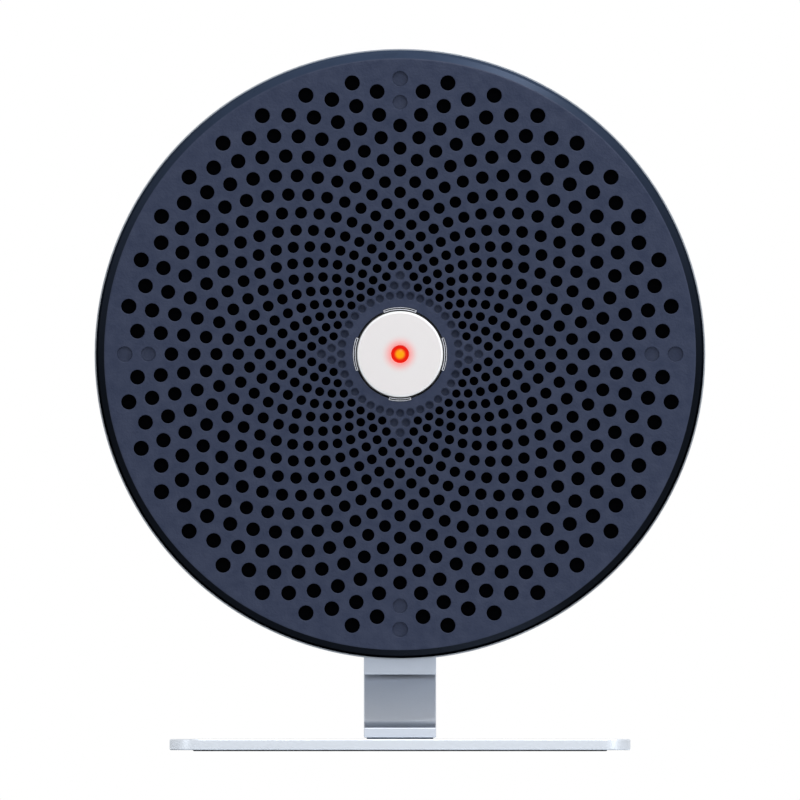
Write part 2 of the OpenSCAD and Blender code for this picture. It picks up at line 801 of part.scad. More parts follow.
// Rubber boots that seal each microphone to the cloth behind the face.
module microphone_boots() {
    boot_h = face_back - mesh_t - frame_front;
    color("#303236") in_head() for (s = [-1, 1]) translate([s * mic_x, mic_y, frame_front]) difference() {
        translate([-mic_boot_w / 2, -mic_boot_w / 2, 0]) cube([mic_boot_w, mic_boot_w, boot_h]);
        translate([0, 0, -1]) cylinder(r = 0.8, h = boot_h + 2, $fn = small);
        translate([-mic_can.x / 2, -mic_can.y / 2, -cut]) cube([mic_can.x, mic_can.y, mic_can.z + cut]);
    }
}

// Metal microphone cans at the bottom of the boots.
module microphones() {
    color("#C9B68A") in_head() for (s = [-1, 1])
        translate([s * mic_x - mic_can.x / 2, mic_y - mic_can.y / 2, frame_front]) cube(mic_can);
}

// ---- Main board ----

module on_board(x, y) {
    in_head() translate([x, y, board_front]) children();
}

// Ring-shaped main board around the magnet.
module main_board() {
    color("#1E5B3A") in_head() translate([0, 0, board_back]) linear_extrude(height = board_t) difference() {
        circle(r = board_r, $fn = fine);
        circle(r = board_hole_r, $fn = medium);
        at_diagonals(standoff_at) circle(r = board_screw[0] + fit_gap, $fn = small);
    }
}

// Screws that hold the main board to its standoffs.
module board_screws() {
    color("silver") in_head() at_diagonals(standoff_at) translate([0, 0, board_front])
        mirror([0, 0, 1]) screw(board_screw, board_t + board_screw_bite);
}

// Connector for the button's flat cable.
module flex_connector() {
    color("#D9D4C4") on_board(0, flex_y) translate([-connector_w / 2, -connector_d / 2, 0])
        cube([connector_w, connector_d, connector_h]);
}

// Processor package.
module processor() {
    color("#1A1B1E") on_board(board_mid_r, chip_y)
        translate([-chip_w / 2, -chip_w / 2, 0]) cube([chip_w, chip_w, processor_t]);
}

// Soft pad between the processor and the heat spreader.
module thermal_pad() {
    color("#8FA3B5") on_board(board_mid_r, chip_y)
        translate([-chip_w / 2, -chip_w / 2, processor_t]) cube([chip_w, chip_w, thermal_pad_t]);
}

// Finned aluminium plate over the processor.
module heat_spreader() {
    plate = chip_w + 1;
    plate_h = 1.2;
    fin_t = 1;
    fin_h = 2;
    pitch = (plate - fin_t) / 5;
    color("#9BA1A8") on_board(board_mid_r, chip_y)
        translate([-plate / 2, -plate / 2, processor_t + thermal_pad_t]) {
            cube([plate, plate, plate_h]);
            for (i = [0:5]) translate([i * pitch, 0, plate_h - cut]) cube([fin_t, plate, fin_h]);
        }
}

// Shield can over the radio.
module radio_shield() {
    hollow_w = can_w - 2 * can_t;
    color("#C8CBCF") on_board(-board_mid_r, chip_y) difference() {
        translate([-can_w / 2, -can_w / 2, 0]) cube([can_w, can_w, can_h]);
        translate([-hollow_w / 2, -hollow_w / 2, -1]) cube([hollow_w, hollow_w, can_h - can_t + 1]);
    }
}

// Four electrolytic capacitors of the power supply and the amplifier.
module capacitors() {
    color("#3E4A63") for (a = [-20, -35, -145, -160])
        on_board(board_mid_r * cos(a), board_mid_r * sin(a))
            cylinder(r = capacitor_r, h = capacitor_h, $fn = small);
}

// Two stamped antennas on the top edge of the board.
module antennas() {
    color("#C8CBCF") for (s = [-1, 1]) on_board(s * antenna_x, antenna_y) {
        translate([-antenna_w / 2, -antenna_t, 0]) cube([antenna_w, antenna_t, antenna_h]);
        translate([-antenna_w / 2, -antenna_d, antenna_h - antenna_t])
            cube([antenna_w, antenna_d, antenna_t]);
    }
}

// Power socket, open at the back of the shell, with its tongue.
module power_inlet() {
    depth = board_back - back_z - 0.3;
    skin = 0.35;
    color("#B9BDC2") in_head() translate([0, inlet_y, board_back - depth]) {
        difference() {
            linear_extrude(height = depth) rotate(90) slot_2d(inlet_h, inlet_w);
            translate([0, 0, -1]) linear_extrude(height = depth)
                rotate(90) slot_2d(inlet_h - 2 * skin, inlet_w - 2 * skin);
        }
        translate([-3.3, -0.35, 0.8]) cube([6.6, 0.7, depth - 1]);
    }
}

// Tactile switch behind the reset button.
module reset_switch() {
    color("#2B2D31") in_head() translate([reset_x, inlet_y, board_back - reset_body_h]) difference() {
        translate([-2.2, -2.2, 0]) cube([4.4, 4.4, reset_body_h]);
        translate([0, 0, -1])
            cylinder(r = reset_stem_r + fit_gap, h = 1 + 2 * reset_travel, $fn = small);
    }
}

// Reset button, flush with the back, with a stop flange inside the shell.
module reset_button() {
    body_back = board_back - reset_body_h;
    color("#2F3238") in_head() translate([reset_x, inlet_y, 0]) {
        translate([0, 0, back_z + 0.2])
            cylinder(r = reset_r, h = back_inner - back_z - 0.2 + 0.5, $fn = small);
        translate([0, 0, back_inner]) cylinder(r = 2.2, h = 0.8, $fn = small);
        translate([0, 0, back_inner + 0.5])
            cylinder(r = reset_stem_r, h = body_back - back_inner - 0.5, $fn = small);
    }
}

// ---- Hinge ----

// Metal block fixed in the head. Its stem shows below the shell and holds the pin,
// and its front and rear lips hang down over the top of the neck.
module hinge_block() {
    front_y = pin_back - block_depth / 2;
    rear_y = pin_back + block_depth / 2;
    color("#AEB4BE") difference() {
        union() {
            along_x(neck_w) polygon([
                [front_y + block_draft, block_bottom], [rear_y, block_bottom], [rear_y, seat_top + cut],
                [front_y, seat_top + cut], [front_y, pin_z + block_draft_above_pin]
            ]);
            translate([-hinge_flange_w / 2, front_y, seat_top])
                cube([hinge_flange_w, block_depth, hinge_flange_t]);
        }
        translate([-pocket_w / 2, pin_back - pocket_r, block_bottom - 1])
            cube([pocket_w, 2 * pocket_r, pocket_top - block_bottom + 1]);
        translate([-neck_w / 2 - 1, pin_back - pocket_r, block_bottom - 1])
            cube([neck_w + 2, 2 * pocket_r, slot_top - block_bottom + 1]);
        translate([0, pin_back, pin_z]) rotate([0, 90, 0])
            cylinder(r = pin_d / 2, h = neck_w + 2, center = true, $fn = small);
        hinge_screw_places() translate([0, 0, -1])
            cylinder(r = board_screw[0] + fit_gap, h = hinge_flange_t + 2, $fn = small);
    }
}

// The two screw positions on the hinge block's flange, at the seat's height.
module hinge_screw_places() {
    for (s = [-1, 1]) translate([s * hinge_screw_at, pin_back, seat_top]) children();
}

// Screws that fix the hinge block to the seat in the shell.
module hinge_screws() {
    color("silver") hinge_screw_places() translate([0, 0, hinge_flange_t])
        mirror([0, 0, 1]) screw(board_screw, hinge_flange_t + hinge_screw_depth);
}

// Steel pin that the head tilts about.
module hinge_pin() {
    color("#D0D3D8") translate([0, pin_back, pin_z]) rotate([0, 90, 0])
        cylinder(r = pin_d / 2, h = neck_w, center = true, $fn = small);
}

// Spring washers on each side of the barrel, which hold the tilt by friction.
module friction_washers() {
    color("#9A7B3F") for (s = [-1, 1])
        translate([s * (barrel_w / 2 + pin_fit + washer_t / 2), pin_back, pin_z]) rotate([0, 90, 0])
            translate([0, 0, -washer_t / 2]) tube(barrel_r - 0.6, pin_d / 2 + pin_fit, washer_t, small);
}

// ---- Stand ----

// Bent strip: foot, bend, leaning strip, and a narrow tongue with a barrel for the pin.
module neck() {
    color("#B4BAC4") difference() {
        union() {
            along_x(neck_w) {
                translate([foot_front_y, foot_bottom]) square([foot_len + cut, neck_t]);
                difference() {
                    neck_outline();
                    translate([bend_y - bend_r, shoulder_z]) square(2 * pin_z);
                }
            }
            along_x(barrel_w) intersection() {
                neck_outline();
                translate([bend_y, shoulder_z - cut]) square(2 * pin_z);
            }
            translate([0, pin_back, pin_z]) rotate([0, 90, 0])
                cylinder(r = barrel_r, h = barrel_w, center = true, $fn = medium);
        }
        translate([0, pin_back, pin_z]) rotate([0, 90, 0])
            cylinder(r = pin_d / 2 + pin_fit, h = barrel_w + 2, center = true, $fn = small);
        base_screw_places() translate([0, 0, foot_bottom - cut])
            cylinder(r = base_screw_r, h = neck_t - foot_roof + cut, $fn = small);
    }
}

// Side outline of the bend and the leaning strip, up to the pin's middle.
module neck_outline() {
    translate([bend_y, bend_z]) {
        intersection() {
            difference() {
                circle(r = bend_r + neck_t, $fn = medium);
                circle(r = bend_r, $fn = medium);
            }
            polygon([[0, 0], [0, -3 * bend_mid_r], [3 * bend_mid_r, -3 * bend_mid_r],
                [3 * bend_mid_r * cos(neck_lean), -3 * bend_mid_r * sin(neck_lean)]]);
        }
        rotate(-neck_lean) translate([bend_r, -cut]) square([neck_t, strip_len + cut]);
    }
}

// The two screw positions under the foot.
module base_screw_places() {
    for (s = [-1, 1]) translate([s * foot_screw_x, foot_screw_y, 0]) children();
}

// Thin damping shim between the foot and the base plate.
module foot_shim() {
    shim_w = neck_w - 2 * shim_inset;
    shim_len = foot_len - 2 * shim_inset;
    color("#7F868F") difference() {
        translate([-shim_w / 2, foot_front_y + shim_inset, base_top]) cube([shim_w, shim_len, shim_t]);
        base_screw_places() cylinder(r = base_screw_r + fit_gap, h = 20, $fn = small);
    }
}

// Base plate with a shallow recess underneath for the pad.
module base_plate() {
    recess_top = base_bottom + pad_recess;
    color("#C3C9D2") difference() {
        translate([0, 0, base_bottom]) linear_extrude(height = base_t)
            rounded_rect(base_w, base_d, base_corner_r);
        translate([0, 0, base_bottom - 1]) linear_extrude(height = pad_recess + 1) rounded_rect(
            base_w - 2 * pad_border, base_d - 2 * pad_border, max(base_corner_r - pad_border, 1)
        );
        base_screw_places() {
            cylinder(r = base_screw_r + fit_gap, h = 20, $fn = small);
            translate([0, 0, recess_top - cut])
                base_screw_head(fit_gap);
        }
    }
}

// Countersunk head of a base screw, grown by a clearance.
module base_screw_head(gap) {
    cylinder(r1 = base_screw_head_r + gap, r2 = base_screw_r + gap, h = base_screw_sink, $fn = small);
}

// Countersunk screws from under the base plate into the foot.
module base_screws() {
    recess_top = base_bottom + pad_recess;
    tip_z = foot_top - foot_roof - base_screw_tip_gap;
    color("#8D9299") base_screw_places() translate([0, 0, recess_top]) difference() {
        union() {
            base_screw_head(0);
            cylinder(r = base_screw_r, h = tip_z - recess_top, $fn = small);
        }
        translate([0, 0, -cut]) cylinder(r = 1, h = 0.8, $fn = 6);
    }
}

// Rubber pad that the hub stands on.
module anti_slip_pad() {
    pad_gap = 2 * fit_gap;
    color("#2C2E33") linear_extrude(height = pad_drop + pad_recess) rounded_rect(
        base_w - 2 * pad_border - 2 * pad_gap, base_d - 2 * pad_border - 2 * pad_gap,
        max(base_corner_r - pad_border, 1) - pad_gap
    );
}

front_grille();
acoustic_mesh();
seal_ring();
inner_frame();
rear_shell();
grille_screws();
housing_screws();
button_cap();
button_guide();
button_housing();
button_screws();
button_board();
switch_bodies();
switch_plungers();
lamp_spacer();
indicator_lamp();
button_flex();
driver_basket();
driver_top_plate();
driver_magnet();
driver_yoke();
driver_surround();
driver_spider();
driver_cone();
dust_cap();
voice_coil();
driver_screws();
microphones();
microphone_boots();
main_board();
board_screws();
flex_connector();
processor();
thermal_pad();
heat_spreader();
radio_shield();
capacitors();
antennas();
power_inlet();
reset_switch();
reset_button();
hinge_block();
hinge_screws();
hinge_pin();
friction_washers();
neck();
foot_shim();
base_plate();
base_screws();
anti_slip_pad();
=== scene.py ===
# Smart home hub: a round speaker head with a perforated face, on a small tilting stand.
# +Z is up, the face looks along -Y, and the origin is on the table under the stand.
import json
import math

import bmesh
import bpy
from mathutils import Matrix, Vector


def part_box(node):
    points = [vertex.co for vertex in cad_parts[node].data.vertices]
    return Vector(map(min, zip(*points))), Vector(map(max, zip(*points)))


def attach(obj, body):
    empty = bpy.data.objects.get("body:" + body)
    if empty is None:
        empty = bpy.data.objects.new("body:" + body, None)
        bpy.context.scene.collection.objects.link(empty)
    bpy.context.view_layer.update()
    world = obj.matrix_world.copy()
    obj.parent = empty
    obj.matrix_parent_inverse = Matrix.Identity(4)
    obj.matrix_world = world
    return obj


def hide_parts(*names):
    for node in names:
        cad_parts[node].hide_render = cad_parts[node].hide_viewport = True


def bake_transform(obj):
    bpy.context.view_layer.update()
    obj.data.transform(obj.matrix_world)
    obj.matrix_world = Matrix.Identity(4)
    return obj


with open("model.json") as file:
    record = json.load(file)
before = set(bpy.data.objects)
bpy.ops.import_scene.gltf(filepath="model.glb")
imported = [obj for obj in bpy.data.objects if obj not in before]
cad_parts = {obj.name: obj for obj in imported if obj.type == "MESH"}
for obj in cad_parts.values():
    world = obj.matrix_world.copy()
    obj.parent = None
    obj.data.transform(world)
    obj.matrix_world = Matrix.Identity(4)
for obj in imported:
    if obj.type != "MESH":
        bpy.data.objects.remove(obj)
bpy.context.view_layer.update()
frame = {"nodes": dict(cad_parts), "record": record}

# ---- Camera ----
# A long lens far in front of the hub, level with it and square to its face, so
# the head shows as a true circle and the stand shows no top faces.
frame_width = 0.14408
frame_middle = 0.06325
camera_distance = 0.9
camera_data = bpy.data.cameras.new("camera")
camera_data.type = "ORTHO"
camera_data.ortho_scale = frame_width
camera = bpy.data.objects.new("camera", camera_data)
camera.location = (0, -camera_distance, frame_middle)
camera.rotation_euler = (math.pi / 2, 0, 0)
bpy.context.scene.collection.objects.link(camera)
bpy.context.scene.camera = camera
bpy.context.scene.view_settings.view_transform = "Standard"

# ---- Face plate ----
# One moulding of dark slate-blue plastic, finely textured: the perforated face, a sloping
# border and a skirt that plugs into the rear shell. The slope is polished and the edge
# outside it matt, both with painted shade that darkens them to black downwards. Screws
# from behind hold its bosses.
face_thickness = 1.2
slope_width = 1.14
slope_height = 0.9
steep_width = 0.45
lip_wall = 1.2
lip_depth = 2.0
lip_inset = 2.1
button_opening_radius = 8.6
button_lip_radius = 8.15
button_lip_thickness = 0.2
window_radius = 8.52
window_halves = {0: 21, 90: 21, 180: 21, 270: 14}
first_ring_radius = 10.62
ring_pitch = 1.753
ring_growth = 0.0098
first_hole_diameter = 1.46
hole_growth = 0.065
holes_per_ring = 36
hole_sides = 16
hole_edge = 0.12
hole_draft = 0.03
dimple_depth = 0.65
dimple_wall = 0.5
deep_dimple_depth = 0.8
deep_dimple_wall = 0.55
deep_dimple_reach = 20
plain_border = 1.6
collar_reach = 10.35
inner_boss_place, inner_boss_radius = 13.2, 1.75
outer_boss_place, outer_boss_radius = 47.5, 2.5

face_low, face_high = [corner * 1000 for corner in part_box("front_grille")]
shell_low, shell_high = [corner * 1000 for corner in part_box("rear_shell")]
head_height = (shell_low.z + shell_high.z) / 2
head_radius = (shell_high.x - shell_low.x) / 2
face_front = -face_low.y
skirt_back = -shell_low.y
plate_radius = (face_high.x - face_low.x) / 2
slope_radius = plate_radius - steep_width
flat_radius = slope_radius - slope_width
lip_radius = head_radius - lip_inset

# From millimetres in the model's axes, and from millimetres in the head's own axes, x right,
# y up and z out of the face, to metres in the model's axes.
IN_STAND = Matrix.Scale(0.001, 4)
IN_HEAD = IN_STAND @ Matrix.Translation((0, 0, head_height)) @ Matrix.Rotation(math.pi / 2, 4, "X")


def rounded(corners, steps=4):
    """Turns corners, each (across, up, rounding), into the points of a soft outline."""
    points = []
    for i, (across, up, rounding) in enumerate(corners):
        corner = Vector((across, up))
        if not rounding:
            points.append(corner)
            continue
        back = (Vector(corners[i - 1][:2]) - corner).normalized()
        ahead = (Vector(corners[(i + 1) % len(corners)][:2]) - corner).normalized()
        half = back.angle(ahead) / 2
        centre = corner + (back + ahead).normalized() * rounding / math.sin(half)
        start = corner + back * rounding / math.tan(half) - centre
        end = corner + ahead * rounding / math.tan(half) - centre
        swing = math.atan2(start.cross(end), start.dot(end))
        for step in range(steps + 1):
            points.append(centre + Matrix.Rotation(swing * step / steps, 2) @ start)
    return points


def turn(bm, outline, steps=128, closed=True):
    """Spins an outline of (radius, height) points about the Z axis."""
    verts = [bm.verts.new((radius, 0, height)) for radius, height in outline]
    pairs = list(zip(verts, verts[1:]))
    if closed:
        pairs.append((verts[-1], verts[0]))
    edges = [bm.edges.new(pair) for pair in pairs]
    bmesh.ops.spin(
        bm, geom=verts + edges, cent=(0, 0, 0), axis=(0, 0, 1), dvec=(0, 0, 0),
        angle=math.tau, steps=steps, use_merge=True, use_duplicate=False
    )


def level_edges(bm, height):
    """The open edges of a mesh that lie at one height."""
    return [
        edge for edge in bm.edges
        if not edge.is_manifold and all(abs(vert.co.z - height) < 1e-4 for vert in edge.verts)
    ]


def fill_level(bm, height, up):
    """Closes the flat region between all the open edges at one height."""
    border = level_edges(bm, height)
    bmesh.ops.triangle_fill(bm, use_beauty=True, use_dissolve=False, edges=border, normal=(0, 0, up))
    for edge in border:
        edge.smooth = False


def make_piece(bm, name, place, finish, sharp=35):
    """Makes a drawn mesh an object of the scene, in metres and in its place."""
    bmesh.ops.remove_doubles(bm, verts=bm.verts, dist=0.0005)
    bmesh.ops.recalc_face_normals(bm, faces=bm.faces)
    for edge in bm.edges:
        if edge.is_manifold and edge.calc_face_angle() > math.radians(sharp):
            edge.smooth = False
    for face in bm.faces:
        face.smooth = True
    bmesh.ops.transform(bm, matrix=place, verts=bm.verts)
    mesh = bpy.data.meshes.new(name)
    bm.to_mesh(mesh)
    bm.free()
    mesh.materials.append(finish.material)
    piece = bpy.data.objects.new(name, mesh)
    bpy.context.scene.collection.objects.link(piece)
    piece.modifiers.new("flat_faces_stay_flat", "WEIGHTED_NORMAL").keep_sharp = True
    return piece


class Socket:
    """One output of a node. Arithmetic on it adds Math nodes."""

    def __init__(self, finish, output):
        self.finish = finish
        self.output = output

    def math(self, operation, *values):
        return self.finish.node("Math", {"operation": operation}, dict(enumerate(values)))

    def __add__(self, other):
        return self.math("ADD", self, other)

    def __mul__(self, other):
        return self.math("MULTIPLY", self, other)

    def __sub__(self, other):
        return self.math("SUBTRACT", self, other)

    def __rsub__(self, other):
        return self.math("SUBTRACT", other, self)

    def __pow__(self, other):
        return self.math("POWER", self, other)

    __radd__ = __add__
    __rmul__ = __mul__

    def between(self, low, high):
        """0 below low, 1 above high, and a soft step from one to the other."""
        settings = {"interpolation_type": "SMOOTHSTEP"}
        return self.finish.node("MapRange", settings, {0: self, 1: low, 2: high})


class Finish:
    """A material being made: its nodes, its Principled shader and their links."""

    def __init__(self, name, **constants):
        self.material = bpy.data.materials.new(name)
        self.material.use_nodes = True
        self.tree = self.material.node_tree
        self.shader = self.tree.nodes["Principled BSDF"]
        self.set(**constants)

    def connect(self, socket, value):
        if isinstance(value, Socket):
            self.tree.links.new(value.output, socket)
        else:
            socket.default_value = value

    def set(self, **values):
        """Sets or links sockets of the shader, named in lower case: base_color=..."""
        names = {socket.name.lower().replace(" ", "_"): socket for socket in self.shader.inputs}
        for name, value in values.items():
            self.connect(names[name], value)

    def node(self, kind, settings={}, values={}, output=0):
        made = self.tree.nodes.new("ShaderNode" + kind)
        for name, value in settings.items():
            setattr(made, name, value)
        for socket, value in values.items():
            self.connect(made.inputs[socket], value)
        return Socket(self, made.outputs[output])

    def place(self):
        """The point on the piece, in the model's metres."""
        return self.node("TexCoord", output="Object")

    def axes(self):
        """The same point as three sockets."""
        split = self.node("SeparateXYZ", values={0: self.place()})
        return [Socket(self, output) for output in split.output.node.outputs]

    def from_axis(self):
        """How far the point lies from the axis of the head, in millimetres."""
        x, y, z = self.axes()
        return ((x * x) + (z - head_height / 1000) ** 2) ** 0.5 * 1000

    def noise(self, size, detail=2.0, stretch=(1, 1, 1)):
        """A cloudy pattern from 0 to 1 with blots of about one size, in millimetres."""
        place = self.node("Mapping", values={"Vector": self.place(), "Scale": stretch})
        return self.node("TexNoise", values={"Vector": place, "Scale": 1000 / size, "Detail": detail})

    def mix(self, factor, first, second):
        values = {0: factor, 6: first, 7: second}
        return self.node("Mix", {"data_type": "RGBA"}, values, output=2)

    def relief(self, height, depth, strength=1.0):
        """Bump of a depth in millimetres, from a height pattern."""
        values = {"Height": height, "Distance": depth / 1000, "Strength": strength}
        self.set(normal=self.node("Bump", values=values))


def paint(colour):
    """A colour written as #RRGGBB, as a shader takes it."""
    parts = [int(colour[i:i + 2], 16) / 255 for i in (1, 3, 5)]
    linear = [part / 12.92 if part <= 0.04045 else ((part + 0.055) / 1.055) ** 2.4 for part in parts]
    return linear + [1]


def ring_radius(ring):
    return first_ring_radius + ring_pitch * ring + ring_growth * ring * ring


def hole_radius(ring):
    return (first_hole_diameter + hole_growth * ring) / 2


def near_boss(point, place, reach):
    """Whether a point of the face lies within reach of a boss on the vertical or level axis."""
    far, near = max(abs(point.x), abs(point.y)), min(abs(point.x), abs(point.y))
    return math.hypot(far - place, near) < reach


def draw_hole(outline, blind):
    """One hole, or a blind dimple, drawn at the origin from an outline of (radius, height) points."""
    bm = bmesh.new()
    turn(bm, outline, steps=hole_sides, closed=False)
    if blind:
        bmesh.ops.edgeloop_fill(bm, edges=level_edges(bm, outline[-1][1]))
    mesh = bpy.data.meshes.new("hole")
    bm.to_mesh(mesh)
    bm.free()
    return mesh


def bridge(bm, loops):
    """Joins closed loops of points, all with as many points, by bands of faces."""
    loops = [[bm.verts.new(point) for point in loop] for loop in loops]
    for outer, inner in zip(loops, loops[1:]):
        for i in range(len(outer)):
            bm.faces.new((outer[i - 1], outer[i], inner[i], inner[i - 1]))


def level_loop(radii, height):
    """A closed loop at one height, with a point turned on from the last for each radius."""
    loop = []
    for i, radius in enumerate(radii):
        angle = math.tau * i / len(radii)
        loop.append((radius * math.cos(angle), radius * math.sin(angle), height))
    return loop


def opening_radius(angle):
    """How far the lip round the button reaches: less far in, in front of its four windows."""
    nearest = round(angle / 90) * 90
    past_window = abs(angle - nearest) - window_halves[nearest % 360]
    share = min(max(past_window, 0), 1)
    return window_radius + (button_lip_radius - window_radius) * share


bm = bmesh.new()
ring = 0
while ring_radius(ring) + hole_radius(ring) < flat_radius - plain_border:
    radius = hole_radius(ring)
    edge = [(radius + hole_edge, 0), (radius + 0.3 * hole_edge, -0.3 * hole_edge)]
    through = draw_hole(edge + [(radius, -hole_edge), (radius, -face_thickness)], blind=False)
    near_button = ring_radius(ring) < deep_dimple_reach
    wall, depth = (deep_dimple_wall, deep_dimple_depth) if near_button else (dimple_wall, dimple_depth)
    dished = [(radius - hole_draft, -wall), (0.84 * radius, -0.75 * depth), (0.5 * radius, -depth)]
    dimple = draw_hole(edge + dished, blind=True)
    for k in range(holes_per_ring):
        turned = Matrix.Rotation(math.tau / holes_per_ring * (k + ring % 2 / 2), 4, "Z")
        centre = turned @ Vector((ring_radius(ring), 0, face_front))
        blind = (
            ring_radius(ring) - radius < collar_reach
            or near_boss(centre, inner_boss_place, inner_boss_radius + radius)
            or near_boss(centre, outer_boss_place, outer_boss_radius + radius)
        )
        opening = dimple if blind else through
        opening.transform(Matrix.Translation(centre))
        bm.from_mesh(opening)
        opening.transform(Matrix.Translation(-centre))
    bpy.data.meshes.remove(through)
    bpy.data.meshes.remove(dimple)
    ring += 1
border = rounded([
    (flat_radius - 1, face_front, 0), (flat_radius, face_front, 0.5),
    (slope_radius, face_front - slope_height, 0.15),
    (plate_radius, face_front - slope_height - 2 * steep_width, 0.1),
    (plate_radius, skirt_back, 0.1), (lip_radius, skirt_back, 0),
    (lip_radius, skirt_back - lip_depth, 0.2), (lip_radius - lip_wall, skirt_back - lip_depth, 0.2),
    (lip_radius - lip_wall, face_front - face_thickness, 0)
])
turn(bm, border, steps=192, closed=False)
lip_radii = [opening_radius(angle) for angle in range(360)]
opening = []
for out, down in ((0.1, 0), (0.03, 0.03), (0, 0.1), (0, button_lip_thickness)):
    opening.append(level_loop([radius + out for radius in lip_radii], face_front - down))
for down in (button_lip_thickness, face_thickness):
    opening.append(level_loop([button_opening_radius] * len(lip_radii), face_front - down))
bridge(bm, opening)
fill_level(bm, face_front, 1)
fill_level(bm, face_front - face_thickness, -1)

face_plastic = Finish("face_plastic", specular_ior_level=0.2)
mottle = face_plastic.noise(2.2, detail=4.0)
grain = face_plastic.noise(0.45, detail=3.0)
face_plastic.set(
    base_color=face_plastic.mix(mottle, paint("#1E273E"), paint("#3A4054")),
    roughness=0.5 + grain * 0.08
)
face_plastic.relief(grain + mottle * 0.6, depth=0.1)


def painted_shade_fade(finish, tint, clear_below=17):
    """Painted shade: a tint that deepens to black from the top of the head to a little below its middle.
    """
    x, y, z = finish.axes()
    low, high = (head_height - clear_below) / 1000, (head_height + head_radius) / 1000
    rise = finish.node("MapRange", values={0: z, 1: low, 2: high})
    return finish.mix(rise ** 2, paint("#010204"), tint)


polished_plastic = Finish("polished_plastic", specular_ior_level=0.09, specular_tint=paint("#BFD6FF"))
ripple = polished_plastic.noise(4.0)
blue = polished_plastic.mix(ripple, paint("#2C3648"), paint("#364156"))
# The slope's blue carries painted shade, darkening to black towards the bottom.
polished_plastic.set(base_color=painted_shade_fade(polished_plastic, blue), roughness=0.26 + ripple * 0.05)
polished_plastic.relief(ripple, depth=0.002, strength=0.3)

matt_edge = Finish("matt_edge", roughness=0.8, specular_ior_level=0.0)
grain = matt_edge.noise(0.3)
blue = matt_edge.mix(grain, paint("#303A4C"), paint("#3C475A"))
# The edge's blue carries the same painted shade, darkening to black towards the bottom.
matt_edge.set(base_color=painted_shade_fade(matt_edge, blue))
matt_edge.relief(grain, depth=0.01, strength=0.5)

# The finishes in the order of their slots: the textured face, the slope, the edge.
for face in bm.faces:
    reach = face.calc_center_median().xy.length
    face.material_index = int(reach > flat_radius + 0.15) + int(reach > slope_radius + 0.05)
face_plate = make_piece(bm, "face_plate", IN_HEAD, face_plastic)
face_plate.data.materials.append(polished_plastic.material)
face_plate.data.materials.append(matt_edge.material)
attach(face_plate, "head")
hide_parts("front_grille")

# ---- Acoustic cloth ----
# Fine black woven cloth glued behind the perforation. It is all that shows
# through the holes, and it keeps dust off the speaker.


def dress(finish, *nodes):
    """Gives pieces that stay as the frame has them their finish."""
    for node in nodes:
        for material_slot in frame["nodes"][node].material_slots:
            material_slot.material = finish.material


cloth = Finish("cloth", roughness=0.95, specular_ior_level=0.0)
x, y, z = cloth.axes()
threads = (x * 12000).math("SINE") * (z * 12000).math("SINE")
cloth.set(base_color=cloth.mix(threads * 0.5 + 0.5, paint("#010102"), paint("#08090C")))
cloth.relief(threads, depth=0.05)
dress(cloth, "acoustic_mesh")

# ---- Seal and inner frame ----
# Foam ring squeezed between the face plate's skirt and the inner frame, a dark moulding
# with a fine spark finish. The frame carries the speaker, the microphones and the button.
foam = Finish("foam", roughness=0.95, specular_ior_level=0.1)
cells = foam.node("TexVoronoi", values={"Vector": foam.place(), "Scale": 2500})
foam.set(base_color=foam.mix(cells, paint("#3A3B40"), paint("#17181B")))
foam.relief(cells, depth=0.15)
dress(foam, "seal_ring")

dark_moulding = Finish("dark_moulding", specular_ior_level=0.35)
grain = dark_moulding.noise(0.2, detail=3.0)
flow = dark_moulding.noise(9)
dark_moulding.set(
    base_color=dark_moulding.mix(flow, paint("#17191D"), paint("#202329")), roughness=0.5 + grain * 0.15
)
dark_moulding.relief(grain, depth=0.02, strength=0.5)
dress(dark_moulding, "inner_frame")

# ---- Rear shell ----
# Deep round cup moulded in plastic and painted satin silver. Slots near the top let
# the amplifier's heat out. Four long screws in deep counterbores hold it to the
# inner frame, and its edge stands a hair proud of the face plate all round.


def soft_copy(node, width, chosen=lambda edge: True, over=32, segments=2):
    """A copy of a frame piece, in millimetres, with its sharp edges rounded by a width."""
    bm = bmesh.new()
    bm.from_mesh(frame["nodes"][node].data)
    bmesh.ops.scale(bm, vec=(1000, 1000, 1000), verts=bm.verts)
    bmesh.ops.remove_doubles(bm, verts=bm.verts, dist=0.001)
    bmesh.ops.dissolve_limit(bm, angle_limit=math.radians(0.6), verts=bm.verts, edges=bm.edges)
    edges = [edge for edge in bm.edges if edge.calc_face_angle(0) > math.radians(over) and chosen(edge)]
    bmesh.ops.bevel(
        bm, geom=edges, offset=width, offset_type="OFFSET", affect="EDGES", segments=segments,
        profile=0.5, material=-1, clamp_overlap=True
    )
    return bm


def on_outside(edge):
    """Whether an edge of the rear shell lies on its back or round the edge of its mouth."""
    on_back = all(vert.co.y > shell_high.y - 0.01 for vert in edge.verts)
    at_mouth = all(vert.co.y < shell_low.y + 0.01 for vert in edge.verts)
    return on_back or at_mouth


silver_paint = Finish("silver_paint", metallic=0.55, roughness=0.4)
flakes = silver_paint.noise(0.12, detail=1.0)
clouds = silver_paint.noise(25)
silver_paint.set(
    base_color=silver_paint.mix(flakes * 0.6 + clouds * 0.4, paint("#A9AEB6"), paint("#C3C8CF")),
    roughness=0.34 + flakes * 0.12
)
silver_paint.relief(flakes, depth=0.004, strength=0.4)

rounded_shell = soft_copy("rear_shell", 0.3, on_outside)
rear_shell = make_piece(rounded_shell, "rear_shell_cup", IN_STAND, silver_paint)
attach(rear_shell, "head")
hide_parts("rear_shell")
